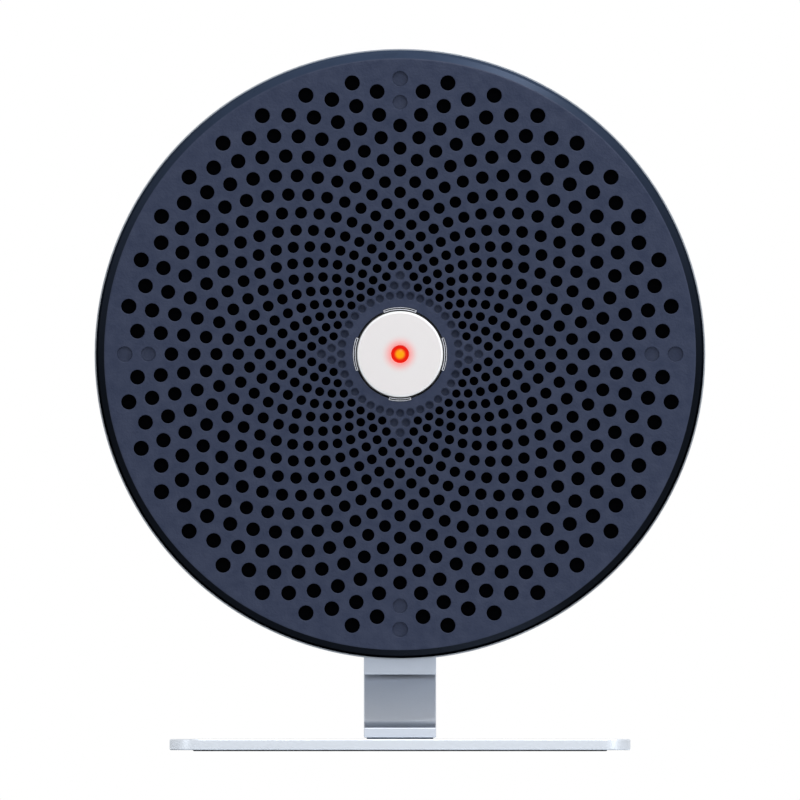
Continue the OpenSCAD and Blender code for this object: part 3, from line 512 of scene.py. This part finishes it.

# ---- Button ----
# Warm white cap, moulded in a plastic that lets a little light through. The lamp's glow on the
# plastic round its middle is painted into the cap's colour as a pink pool of painted light, and a
# painted highlight runs round its brim. It slides in a gloss black ring, whose four raised tabs
# have edges painted near white as a painted highlight and show in the windows of the face plate's lip.
cap_finish = Finish("warm_white", roughness=0.35, specular_ior_level=0.4)
from_middle = cap_finish.from_axis()
# Painted light: a pink pool of the lamp's glow round the middle, and a near-white painted highlight at
# the brim.
glow = (1 - from_middle.between(1.5, 4.0)) ** 2
painted_brim_highlight = from_middle.between(7.3, 7.5)
plain = cap_finish.mix(painted_brim_highlight, paint("#EAE3E0"), paint("#FAF8F6"))
cap_finish.set(base_color=cap_finish.mix(glow, plain, paint("#FFA09A")))
cap_finish.relief(cap_finish.noise(0.3), depth=0.003, strength=0.3)

cap_low, cap_high = [corner * 1000 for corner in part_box("button_cap")]
cap_front = -cap_low.y
plunger_gap = 0.02
cap_back = plunger_gap - cap_high.y
cap_flange_radius = (cap_high.x - cap_low.x) / 2
cap_radius = 7.75
cap_flange = 1.2
cap_skin = 1.4
cap_wall = 1.45
cap_hollow_radius = cap_radius - cap_wall
lamp_hole_radius = 1.6
bm = bmesh.new()
turn(bm, rounded([
    (lamp_hole_radius, cap_front, 0.15), (cap_radius, cap_front, 0.45),
    (cap_radius, cap_back + cap_flange, 0), (cap_flange_radius, cap_back + cap_flange, 0.2),
    (cap_flange_radius, cap_back, 0.2),
    (cap_hollow_radius, cap_back, 0.2), (cap_hollow_radius, cap_front - cap_skin, 0.3),
    (lamp_hole_radius, cap_front - cap_skin, 0.1)
]))
cap = make_piece(bm, "button_cap_round", IN_HEAD, cap_finish)
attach(cap, "button")
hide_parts("button_cap")

gloss_black = Finish("gloss_black", base_color=paint("#040508"), specular_ior_level=0.15)
gloss_black.set(roughness=0.12 + gloss_black.from_axis().between(8.6, 8.8) * 0.8)
gloss_black.relief(gloss_black.noise(1.5), depth=0.002, strength=0.2)
ring_low, ring_high = [corner * 1000 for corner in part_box("button_guide")]
ring_front = -ring_low.y
ring_back = -ring_high.y
ring_bore = 7.95
ring_wall = 0.55
collar_radius = 11.35
ring_flange_radius = (ring_high.x - ring_low.x) / 2
ring_flange = 1.2
collar_front = face_front - face_thickness
bm = bmesh.new()
turn(bm, rounded([
    (ring_bore, ring_front, 0.2), (ring_bore + ring_wall, ring_front, 0.2),
    (ring_bore + ring_wall, collar_front, 0), (collar_radius, collar_front, 0.1),
    (collar_radius, ring_back + ring_flange, 0), (ring_flange_radius, ring_back + ring_flange, 0.1),
    (ring_flange_radius, ring_back, 0.1), (ring_bore, ring_back, 0.1)
]))
tab_inner, tab_outer = 8.0, 8.47
tab_height = 0.12
tab_edge = 0.16
for middle, half in window_halves.items():
    turns = [middle + half * step / 8 for step in range(-8, 9)]
    tab = bmesh.new()
    outline = [(tab_outer, angle) for angle in turns] + [(tab_inner, angle) for angle in reversed(turns)]
    corners = []
    for radius, angle in outline:
        corners.append(Matrix.Rotation(math.radians(angle), 3, "Z") @ Vector((radius, 0, ring_front)))
    top = tab.faces.new([tab.verts.new(corner) for corner in corners])
    wall = bmesh.ops.extrude_face_region(tab, geom=[top])["geom"]
    raised = [item for item in wall if isinstance(item, bmesh.types.BMVert)]
    bmesh.ops.translate(tab, verts=raised, vec=(0, 0, tab_height))
    brim = [edge for edge in tab.edges if all(vert.co.z > ring_front + 0.01 for vert in edge.verts)]
    # The rounded top edges take the second finish, a painted highlight in near white.
    bmesh.ops.bevel(
        tab, geom=brim, offset=tab_edge, offset_type="OFFSET", affect="EDGES", segments=2, profile=0.5,
        material=1, clamp_overlap=True
    )
    mesh = bpy.data.meshes.new("tab")
    tab.to_mesh(mesh)
    tab.free()
    bm.from_mesh(mesh)
    bpy.data.meshes.remove(mesh)
# Near-white colour on the tabs' edges: a painted highlight standing in for the light they catch.
bright_edge = Finish("bright_edge", roughness=0.3)
bright_edge.set(base_color=bright_edge.mix(bright_edge.noise(0.5), paint("#F0F1FA"), paint("#FCFCFF")))
guide = make_piece(bm, "button_ring", IN_HEAD, gloss_black)
guide.data.materials.append(bright_edge.material)
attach(guide, "head")
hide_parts("button_guide")

# ---- Indicator lamp ----
# Clear red lamp of 3 mm, lit: its middle looks orange and its edge deep red. It stands
# on a spacer on the button's board and looks out through the hole in the cap.
lamp_finish = Finish(
    "lit_lamp", base_color=paint("#200200"), roughness=0.3, specular_ior_level=0.1, emission_strength=1.0
)
edge_red = lamp_finish.from_axis().between(0.45, 1.15)
lamp_finish.set(emission_color=lamp_finish.mix(edge_red, paint("#FFA600"), paint("#E81D0E")))

lamp_low, lamp_high = [corner * 1000 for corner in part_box("indicator_lamp")]
lamp_radius = 1.5
lamp_flange = 0.8
lamp_flange_radius = (lamp_high.x - lamp_low.x) / 2
bm = bmesh.new()
turn(bm, rounded([
    (0, -lamp_high.y, 0), (lamp_flange_radius, -lamp_high.y, 0.1),
    (lamp_flange_radius, -lamp_high.y + lamp_flange, 0.1), (lamp_radius, -lamp_high.y + lamp_flange, 0),
    (lamp_radius, -lamp_low.y, 1.4), (0, -lamp_low.y, 0)
], steps=8), steps=48, closed=False)
lamp = make_piece(bm, "indicator_lamp_red", IN_HEAD, lamp_finish)
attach(lamp, "head")
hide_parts("indicator_lamp")

# ---- Behind the button ----
# A dark housing screwed to the face plate's inner bosses holds a small green board with
# two tactile switches. The cap pushes their ivory plungers. The lamp stands on a spacer,
# and an amber flat cable runs back to the main board.
dress(dark_moulding, "button_housing", "switch_bodies", "lamp_spacer")

solder_mask = Finish("solder_mask", roughness=0.35, specular_ior_level=0.5)
x, y, z = solder_mask.axes()
lanes = (x * 7000).math("SINE").between(0.55, 0.8)
lanes = lanes * solder_mask.noise(6, stretch=(1, 1, 0.3)).between(0.5, 0.55)
rungs = (z * 7000).math("SINE").between(0.55, 0.8)
rungs = rungs * solder_mask.noise(7, stretch=(0.3, 1, 1)).between(0.5, 0.55)
tracks = lanes.math("MAXIMUM", lanes, rungs)
solder_mask.set(base_color=solder_mask.mix(tracks, paint("#12432D"), paint("#2C7A50")))
solder_mask.relief(tracks, depth=0.03)
dress(solder_mask, "button_board", "main_board")

ivory = Finish("ivory", roughness=0.4)
flow = ivory.noise(2)
ivory.set(base_color=ivory.mix(flow, paint("#D6D0BE"), paint("#E2DDCE")))
ivory.relief(ivory.noise(0.3), depth=0.005, strength=0.4)
dress(ivory, "switch_plungers", "flex_connector")

amber_film = Finish("amber_film", roughness=0.25, coat_weight=0.4)
x, y, z = amber_film.axes()
conductors = (x * 12000).math("SINE").between(0.1, 0.4)
amber_film.set(base_color=amber_film.mix(conductors, paint("#8A4A16"), paint("#B97A34")))
amber_film.relief(conductors, depth=0.03)
dress(amber_film, "button_flex")

# ---- Speaker ----
# Full-range driver of the usual build: black pressed-steel basket, ferrite ring between
# zinc-plated plates, copper coil on a paper cone with a rubber roll round it, and a
# resin-dipped cloth spider. Four screws through its flange hold it to the inner frame.
black_paint = Finish("black_paint", roughness=0.45, specular_ior_level=0.5)
peel = black_paint.noise(0.6)
black_paint.set(base_color=black_paint.mix(peel, paint("#101114"), paint("#1B1D21")))
black_paint.relief(peel, depth=0.02, strength=0.5)
dress(black_paint, "driver_basket")

zinc = Finish("zinc", metallic=1.0)
spangle = zinc.noise(0.5)
zinc.set(
    base_color=zinc.mix(spangle, paint("#A9ADB4"), paint("#C6CAD0")),
    roughness=0.28 + spangle * 0.15
)
zinc.relief(spangle, depth=0.005, strength=0.4)
dress(
    zinc, "driver_top_plate", "driver_yoke", "driver_screws", "grille_screws", "button_screws",
    "board_screws", "hinge_screws", "base_screws"
)

ferrite = Finish("ferrite", roughness=0.7, specular_ior_level=0.4)
pores = ferrite.noise(0.3, detail=4.0)
ferrite.set(base_color=ferrite.mix(pores, paint("#202123"), paint("#343538")))
ferrite.relief(pores, depth=0.05)
dress(ferrite, "driver_magnet")

soft_rubber = Finish("soft_rubber", roughness=0.7, specular_ior_level=0.35)
specks = soft_rubber.noise(0.5, detail=3.0)
soft_rubber.set(base_color=soft_rubber.mix(specks, paint("#17181A"), paint("#232427")))
soft_rubber.relief(specks, depth=0.01, strength=0.5)
dress(soft_rubber, "microphone_boots")

roll_low, roll_high = [corner * 1000 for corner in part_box("driver_surround")]
cone_low, cone_high = [corner * 1000 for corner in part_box("driver_cone")]
basket_ledge = -cone_low.y
roll_rim_radius = (roll_high.x - roll_low.x) / 2
cone_radius = (cone_high.x - cone_low.x) / 2
roll_width = 3.2
roll_height = -roll_low.y - basket_ledge
roll_sheet = 0.2
roll_gap = 0.1
roll_middle = cone_radius + roll_gap + roll_width / 2
cone_edge = 0.5
cone_back = basket_ledge - cone_edge
lap_width = 0.9
lap_reach = 0.25
lap_angle = 7


def roll_arc(inward, first, last, steps=24):
    """Points of the half roll's section, at a depth under its outer skin, between two angles."""
    angles = [math.radians(first + (last - first) * step / steps) for step in range(steps + 1)]
    across, up = roll_width / 2 - inward, roll_height - inward
    return [(roll_middle + across * math.cos(a), basket_ledge + up * math.sin(a)) for a in angles]


# The roll's rim stays with the basket. Its inner lap, glued behind the cone's edge, goes
# with the cone.
bm = bmesh.new()
turn(bm, [
    (cone_radius - lap_width, cone_back), (cone_radius - lap_width, cone_back - roll_sheet),
    (cone_radius + lap_reach, cone_back - roll_sheet), *roll_arc(roll_sheet, 180, 0),
    (roll_rim_radius, basket_ledge), (roll_rim_radius, basket_ledge + roll_sheet),
    *roll_arc(0, lap_angle, 180), (cone_radius + roll_gap / 2, cone_back)
])
surround = make_piece(bm, "surround_roll", IN_HEAD, soft_rubber)
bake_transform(surround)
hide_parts("driver_surround")

dipped_cloth = Finish("dipped_cloth", roughness=0.75)
weave = dipped_cloth.noise(0.25, detail=3.0)
dipped_cloth.set(base_color=dipped_cloth.mix(weave, paint("#9A7838"), paint("#C6A256")))
dipped_cloth.relief(weave, depth=0.05)

spider_low, spider_high = [corner * 1000 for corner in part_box("driver_spider")]
spider_ledge = -spider_high.y
spider_rim_radius = (spider_high.x - spider_low.x) / 2
spider_rim_width = 1.1
spider_sheet = 0.12
wave_outer, wave_inner = 12.2, 8.45
wave_count = 3
wave_steps = 48
wave_height = 0.15
wave_level = spider_ledge - 0.25
former_radius = 7.8
collar_width = 0.2
collar_edge = 0.1
collar_bottom = spider_ledge - 1.05

# The rim is glued to the basket's ledge, and the collar in the middle to the coil's former.
middle_line = [(spider_rim_radius, spider_ledge + spider_sheet / 2)]
middle_line.append((spider_rim_radius - spider_rim_width, spider_ledge + spider_sheet / 2))
for step in range(wave_steps + 1):
    share = step / wave_steps
    radius = wave_outer + (wave_inner - wave_outer) * share
    swing = math.cos(share * wave_count * math.tau)
    middle_line.append((radius, wave_level + wave_height * swing))
middle_line.append((former_radius + collar_width, collar_bottom + collar_edge))
middle_line.append((former_radius, collar_bottom))
upper = [(radius, height + spider_sheet / 2) for radius, height in middle_line]
under = [(radius, height - spider_sheet / 2) for radius, height in middle_line]
bm = bmesh.new()
turn(bm, upper + under[::-1])
spider = make_piece(bm, "spider_waved", IN_HEAD, dipped_cloth)
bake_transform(spider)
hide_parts("driver_spider")

pressed_paper = Finish("pressed_paper", roughness=0.85, specular_ior_level=0.2)
fibres = pressed_paper.noise(0.5, detail=5.0, stretch=(1, 0.3, 1))
pressed_paper.set(base_color=pressed_paper.mix(fibres, paint("#18191B"), paint("#2A2B2E")))
pressed_paper.relief(fibres, depth=0.04)
dress(pressed_paper, "driver_cone", "dust_cap")

copper_wire = Finish("copper_wire", metallic=1.0, roughness=0.3)
x, y, z = copper_wire.axes()
windings = (y * 30000).math("SINE")
copper_wire.set(base_color=copper_wire.mix(windings * 0.5 + 0.5, paint("#8E4A22"), paint("#D98A55")))
copper_wire.relief(windings, depth=0.05)
dress(copper_wire, "voice_coil")

# ---- Main board ----
# Round green board on four standoffs of the rear shell. It carries the processor under
# a finned spreader, the radio's tinned can, the supply's capacitors and two antennas,
# and two microphones in rubber boots listen through the cloth from the inner frame.
tinplate = Finish("tinplate", metallic=1.0)
streaks = tinplate.noise(0.8, stretch=(0.2, 1, 1))
tinplate.set(
    base_color=tinplate.mix(streaks, paint("#B4B7BC"), paint("#D3D6DA")),
    roughness=0.22 + streaks * 0.15
)
tinplate.relief(streaks, depth=0.01, strength=0.4)
dress(tinplate, "radio_shield", "antennas", "microphones")

epoxy = Finish("epoxy", roughness=0.55)
grit = epoxy.noise(0.15)
epoxy.set(base_color=epoxy.mix(grit, paint("#131416"), paint("#1F2023")))
epoxy.relief(grit, depth=0.01, strength=0.5)
dress(epoxy, "processor", "reset_switch")

silicone_pad = Finish("silicone_pad", roughness=0.6)
flow = silicone_pad.noise(1.5)
silicone_pad.set(base_color=silicone_pad.mix(flow, paint("#7C94A8"), paint("#97ADBE")))
silicone_pad.relief(flow, depth=0.02)
dress(silicone_pad, "thermal_pad")

bare_aluminium = Finish("bare_aluminium", metallic=1.0)
drawn = bare_aluminium.noise(0.3, stretch=(1, 1, 0.08))
bare_aluminium.set(
    base_color=bare_aluminium.mix(drawn, paint("#9FA3A9"), paint("#BFC3C8")),
    roughness=0.3 + drawn * 0.15
)
bare_aluminium.relief(drawn, depth=0.01, strength=0.4)
dress(bare_aluminium, "heat_spreader")

sleeve = Finish("sleeve", roughness=0.35)
wrinkles = sleeve.noise(1.2, stretch=(1, 0.2, 1))
sleeve.set(base_color=sleeve.mix(wrinkles, paint("#242C40"), paint("#333D55")))
sleeve.relief(wrinkles, depth=0.03, strength=0.5)
dress(sleeve, "capacitors")

# ---- Power inlet, reset button and housing screws ----
# What shows in the rear shell: the drawn-steel socket for the power lead, a small grey
# button behind a round hole, and four zinc-plated screws deep in their counterbores.
inlet = make_piece(soft_copy("power_inlet", 0.1), "power_inlet_rolled", IN_STAND, tinplate)
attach(inlet, "head")
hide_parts("power_inlet")

grey_plastic = Finish("grey_plastic", roughness=0.5)
grain = grey_plastic.noise(0.2)
grey_plastic.set(base_color=grey_plastic.mix(grain, paint("#2F3135"), paint("#3B3E43")))
grey_plastic.relief(grain, depth=0.01, strength=0.5)
reset = make_piece(soft_copy("reset_button", 0.2), "reset_button_round", IN_STAND, grey_plastic)
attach(reset, "reset")
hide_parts("reset_button")

screws = make_piece(soft_copy("housing_screws", 0.15), "housing_screws_rolled", IN_STAND, zinc)
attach(screws, "head")
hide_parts("housing_screws")

# ---- Neck and hinge block ----
# A strip of satin anodised aluminium, bent once, with its foot screwed to the base. The
# narrow tongue at its top turns on a ground steel pin in the cast zinc block under the
# head, between two bronze washers that hold the head by friction.
satin_aluminium = Finish("satin_aluminium", metallic=1.0)
brushing = satin_aluminium.noise(0.08, stretch=(0.15, 1, 1))
satin_aluminium.set(
    base_color=satin_aluminium.mix(brushing, paint("#BFC4CC"), paint("#C9CDD5")),
    roughness=0.42 + brushing * 0.1
)
satin_aluminium.relief(brushing, depth=0.002, strength=0.3)

cast_zinc = Finish("cast_zinc", metallic=1.0)
blasting = cast_zinc.noise(0.15)
cast_zinc.set(
    base_color=cast_zinc.mix(blasting, paint("#C0C5CE"), paint("#CBD0D8")),
    roughness=0.42 + blasting * 0.1
)
cast_zinc.relief(blasting, depth=0.006, strength=0.5)

block = make_piece(soft_copy("hinge_block", 0.2), "hinge_block_soft", IN_STAND, cast_zinc)
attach(block, "head")
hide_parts("hinge_block")

tilt = next(joint for joint in frame["record"]["behaviour"]["joints"] if joint["name"] == "head_tilt")
pin_middle = Vector(tilt["pos_m"]) * 1000
neck_low, neck_high = [corner * 1000 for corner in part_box("neck")]
strip_thickness = 1.8
strip_lean = math.radians(20)
bend_radius = 2.0
barrel_radius = 3.2
tongue_width = 4.8
pin_bore = 1.55
shoulder_drop = 2.9
foot_bottom = neck_low.z
foot_top = foot_bottom + strip_thickness
shoulder = pin_middle.z - shoulder_drop


def on_strip(side, height):
    """The point of the strip's front (-1) or back (1) face, or its middle (0), at a height."""
    out = side * strip_thickness / 2 / math.cos(strip_lean)
    return (pin_middle.y - (pin_middle.z - height) * math.tan(strip_lean) + out, height)


def extrude_outline(bm, outline, width):
    """Draws an outline of (y, z) points as a solid of a width along X, centred."""
    face = bm.faces.new([bm.verts.new((-width / 2, point[0], point[1])) for point in outline])
    made = bmesh.ops.extrude_face_region(bm, geom=[face], use_keep_orig=True)["geom"]
    verts = [item for item in made if isinstance(item, bmesh.types.BMVert)]
    bmesh.ops.translate(bm, verts=verts, vec=(width, 0, 0))


def soften(bm, width, over=32, segments=3):
    """Rounds the sharp edges of a drawn solid."""
    bmesh.ops.recalc_face_normals(bm, faces=bm.faces)
    edges = [edge for edge in bm.edges if edge.calc_face_angle(0) > math.radians(over)]
    bmesh.ops.bevel(
        bm, geom=edges, offset=width, offset_type="OFFSET", affect="EDGES", segments=segments,
        profile=0.5, material=-1, clamp_overlap=True
    )


bm = bmesh.new()
strip = rounded([
    (neck_low.y, foot_bottom, 0), (neck_low.y, foot_top, 0),
    (*on_strip(-1, foot_top), bend_radius), (*on_strip(-1, shoulder), 0),
    (*on_strip(1, shoulder), 0), (*on_strip(1, foot_bottom), bend_radius + strip_thickness)
], steps=16)
extrude_outline(bm, strip, neck_high.x - neck_low.x)
soften(bm, 0.2)
tongue = bmesh.new()
extrude_outline(tongue, [
    on_strip(-1, shoulder - 0.5), on_strip(-1, pin_middle.z - barrel_radius / 2),
    on_strip(1, pin_middle.z - barrel_radius / 2), on_strip(1, shoulder - 0.5)
], tongue_width)
barrel = bmesh.new()
turn(barrel, rounded([
    (pin_bore, -tongue_width / 2, 0.1), (barrel_radius, -tongue_width / 2, 0.2),
    (barrel_radius, tongue_width / 2, 0.2), (pin_bore, tongue_width / 2, 0.1)
]), steps=64)
bmesh.ops.rotate(barrel, verts=barrel.verts, cent=(0, 0, 0), matrix=Matrix.Rotation(math.pi / 2, 3, "Y"))
bmesh.ops.translate(barrel, verts=barrel.verts, vec=pin_middle)
for part in (tongue, barrel):
    mesh = bpy.data.meshes.new("part")
    part.to_mesh(mesh)
    part.free()
    bm.from_mesh(mesh)
    bpy.data.meshes.remove(mesh)
neck = make_piece(bm, "neck_strip", IN_STAND, satin_aluminium)
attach(neck, "stand")
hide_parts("neck")

steel = Finish("ground_steel", metallic=1.0, roughness=0.25)
scratches = steel.noise(0.2)
steel.set(
    base_color=steel.mix(scratches, paint("#B9BCC2"), paint("#D5D8DD")),
    roughness=0.18 + scratches * 0.15
)
pin = make_piece(soft_copy("hinge_pin", 0.2), "hinge_pin_ground", IN_STAND, steel)
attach(pin, "head")
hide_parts("hinge_pin")

bronze = Finish("bronze", metallic=1.0)
turned_marks = bronze.noise(0.3)
bronze.set(
    base_color=bronze.mix(turned_marks, paint("#8C6A3C"), paint("#B38E58")),
    roughness=0.3 + turned_marks * 0.2
)
bronze.relief(turned_marks, depth=0.005, strength=0.4)
dress(bronze, "friction_washers")

# ---- Base plate ----
# A plate of steel, satin plated, with a pale rubber pad let into its underside and a thin
# damping shim under the neck's foot. Two countersunk screws come up into the foot.
plated_steel = Finish("plated_steel", metallic=0.9)
haze = plated_steel.noise(0.1)
plated_steel.set(
    base_color=plated_steel.mix(haze, paint("#D2D7DE"), paint("#DADEE4")),
    roughness=0.38 + haze * 0.06
)
plated_steel.relief(haze, depth=0.002, strength=0.1)

plate_low, plate_high = [corner * 1000 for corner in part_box("base_plate")]
plate_corner = 5.4
pad_border = 4.0
pad_recess = 0.6
bm = bmesh.new()
outline = rounded([
    (plate_low.x, plate_low.y, plate_corner), (plate_high.x, plate_low.y, plate_corner),
    (plate_high.x, plate_high.y, plate_corner), (plate_low.x, plate_high.y, plate_corner)
], steps=16)
under = bm.faces.new([bm.verts.new((point[0], point[1], plate_low.z)) for point in outline])
made = bmesh.ops.extrude_face_region(bm, geom=[under], use_keep_orig=True)["geom"]
verts = [item for item in made if isinstance(item, bmesh.types.BMVert)]
bmesh.ops.translate(bm, verts=verts, vec=(0, 0, plate_high.z - plate_low.z))
bmesh.ops.inset_region(bm, faces=[under], thickness=pad_border, depth=0, use_even_offset=True)
recess = bmesh.ops.extrude_face_region(bm, geom=[under])["geom"]
verts = [item for item in recess if isinstance(item, bmesh.types.BMVert)]
bmesh.ops.translate(bm, verts=verts, vec=(0, 0, pad_recess))
soften(bm, 0.25, over=60)
base = make_piece(bm, "base_plate_soft", IN_STAND, plated_steel)
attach(base, "stand")
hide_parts("base_plate")

pale_rubber = Finish("rubber", roughness=0.85, specular_ior_level=0.3)
specks = pale_rubber.noise(0.5, detail=3.0)
pale_rubber.set(base_color=pale_rubber.mix(specks, paint("#C3C6CB"), paint("#D2D5D9")))
pale_rubber.relief(specks, depth=0.03, strength=0.6)
pad = make_piece(soft_copy("anti_slip_pad", 0.2), "anti_slip_pad_soft", IN_STAND, pale_rubber)
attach(pad, "stand")
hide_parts("anti_slip_pad")

shim_rubber = Finish("shim_rubber", roughness=0.8, specular_ior_level=0.3)
specks = shim_rubber.noise(0.4, detail=3.0)
shim_rubber.set(base_color=shim_rubber.mix(specks, paint("#7C8087"), paint("#8D9299")))
shim_rubber.relief(specks, depth=0.01)
dress(shim_rubber, "foot_shim")

# ---- Floor and light ----
# A pale table top and plain soft light: a bright lamp overhead and to the right, a second one
# high in front, two weak upright ones at the left and the right, and an even glow all round.
floor_finish = Finish("table_top", roughness=0.7, specular_ior_level=0.2)
clouds = floor_finish.noise(60)
floor_finish.set(base_color=floor_finish.mix(clouds, paint("#ECEDEE"), paint("#F2F3F4")))
bm = bmesh.new()
bmesh.ops.create_circle(bm, radius=4000, segments=64, cap_ends=True)
floor = make_piece(bm, "table_top", IN_STAND, floor_finish)

world = bpy.data.worlds.new("studio")
bpy.context.scene.world = world
world.use_nodes = True
tree = world.node_tree
seen = tree.nodes["Background"]
seen.inputs["Color"].default_value = (1, 1, 1, 1)
seen.inputs["Strength"].default_value = 1.0
fill = tree.nodes.new("ShaderNodeBackground")
fill.inputs["Color"].default_value = (0.94, 0.97, 1.0, 1)
fill.inputs["Strength"].default_value = 0.25
path = tree.nodes.new("ShaderNodeLightPath")
either = path.outputs["Is Camera Ray"]
for ray in ("Is Glossy Ray", "Is Transmission Ray"):
    both = tree.nodes.new("ShaderNodeMath")
    both.operation = "MAXIMUM"
    tree.links.new(either, both.inputs[0])
    tree.links.new(path.outputs[ray], both.inputs[1])
    either = both.outputs[0]
choice = tree.nodes.new("ShaderNodeMixShader")
tree.links.new(either, choice.inputs[0])
tree.links.new(fill.outputs[0], choice.inputs[1])
tree.links.new(seen.outputs[0], choice.inputs[2])
tree.links.new(choice.outputs[0], tree.nodes["World Output"].inputs["Surface"])


def soft_lamp(name, place, width, height, brightness):
    """A flat lamp that points at the head from a place in metres."""
    data = bpy.data.lights.new(name, "AREA")
    data.shape = "RECTANGLE"
    data.size = width
    data.size_y = height
    data.energy = brightness * math.pi * width * height
    data.color = (0.92, 0.96, 1.0)
    light = bpy.data.objects.new(name, data)
    light.location = place
    aim = Vector(place) - Vector((0, 0, head_height / 1000))
    light.rotation_euler = aim.to_track_quat("Z", "Y").to_euler()
    bpy.context.scene.collection.objects.link(light)


soft_lamp("overhead", (0.26, -0.19, 0.74), 0.42, 0.11, 26)
soft_lamp("left", (-0.57, -0.42, 0.09), 0.16, 0.5, 2)
soft_lamp("right", (0.57, -0.42, 0.09), 0.16, 0.5, 3)
soft_lamp("front", (0.15, -1.0, 1.0), 0.35, 0.35, 15.5)
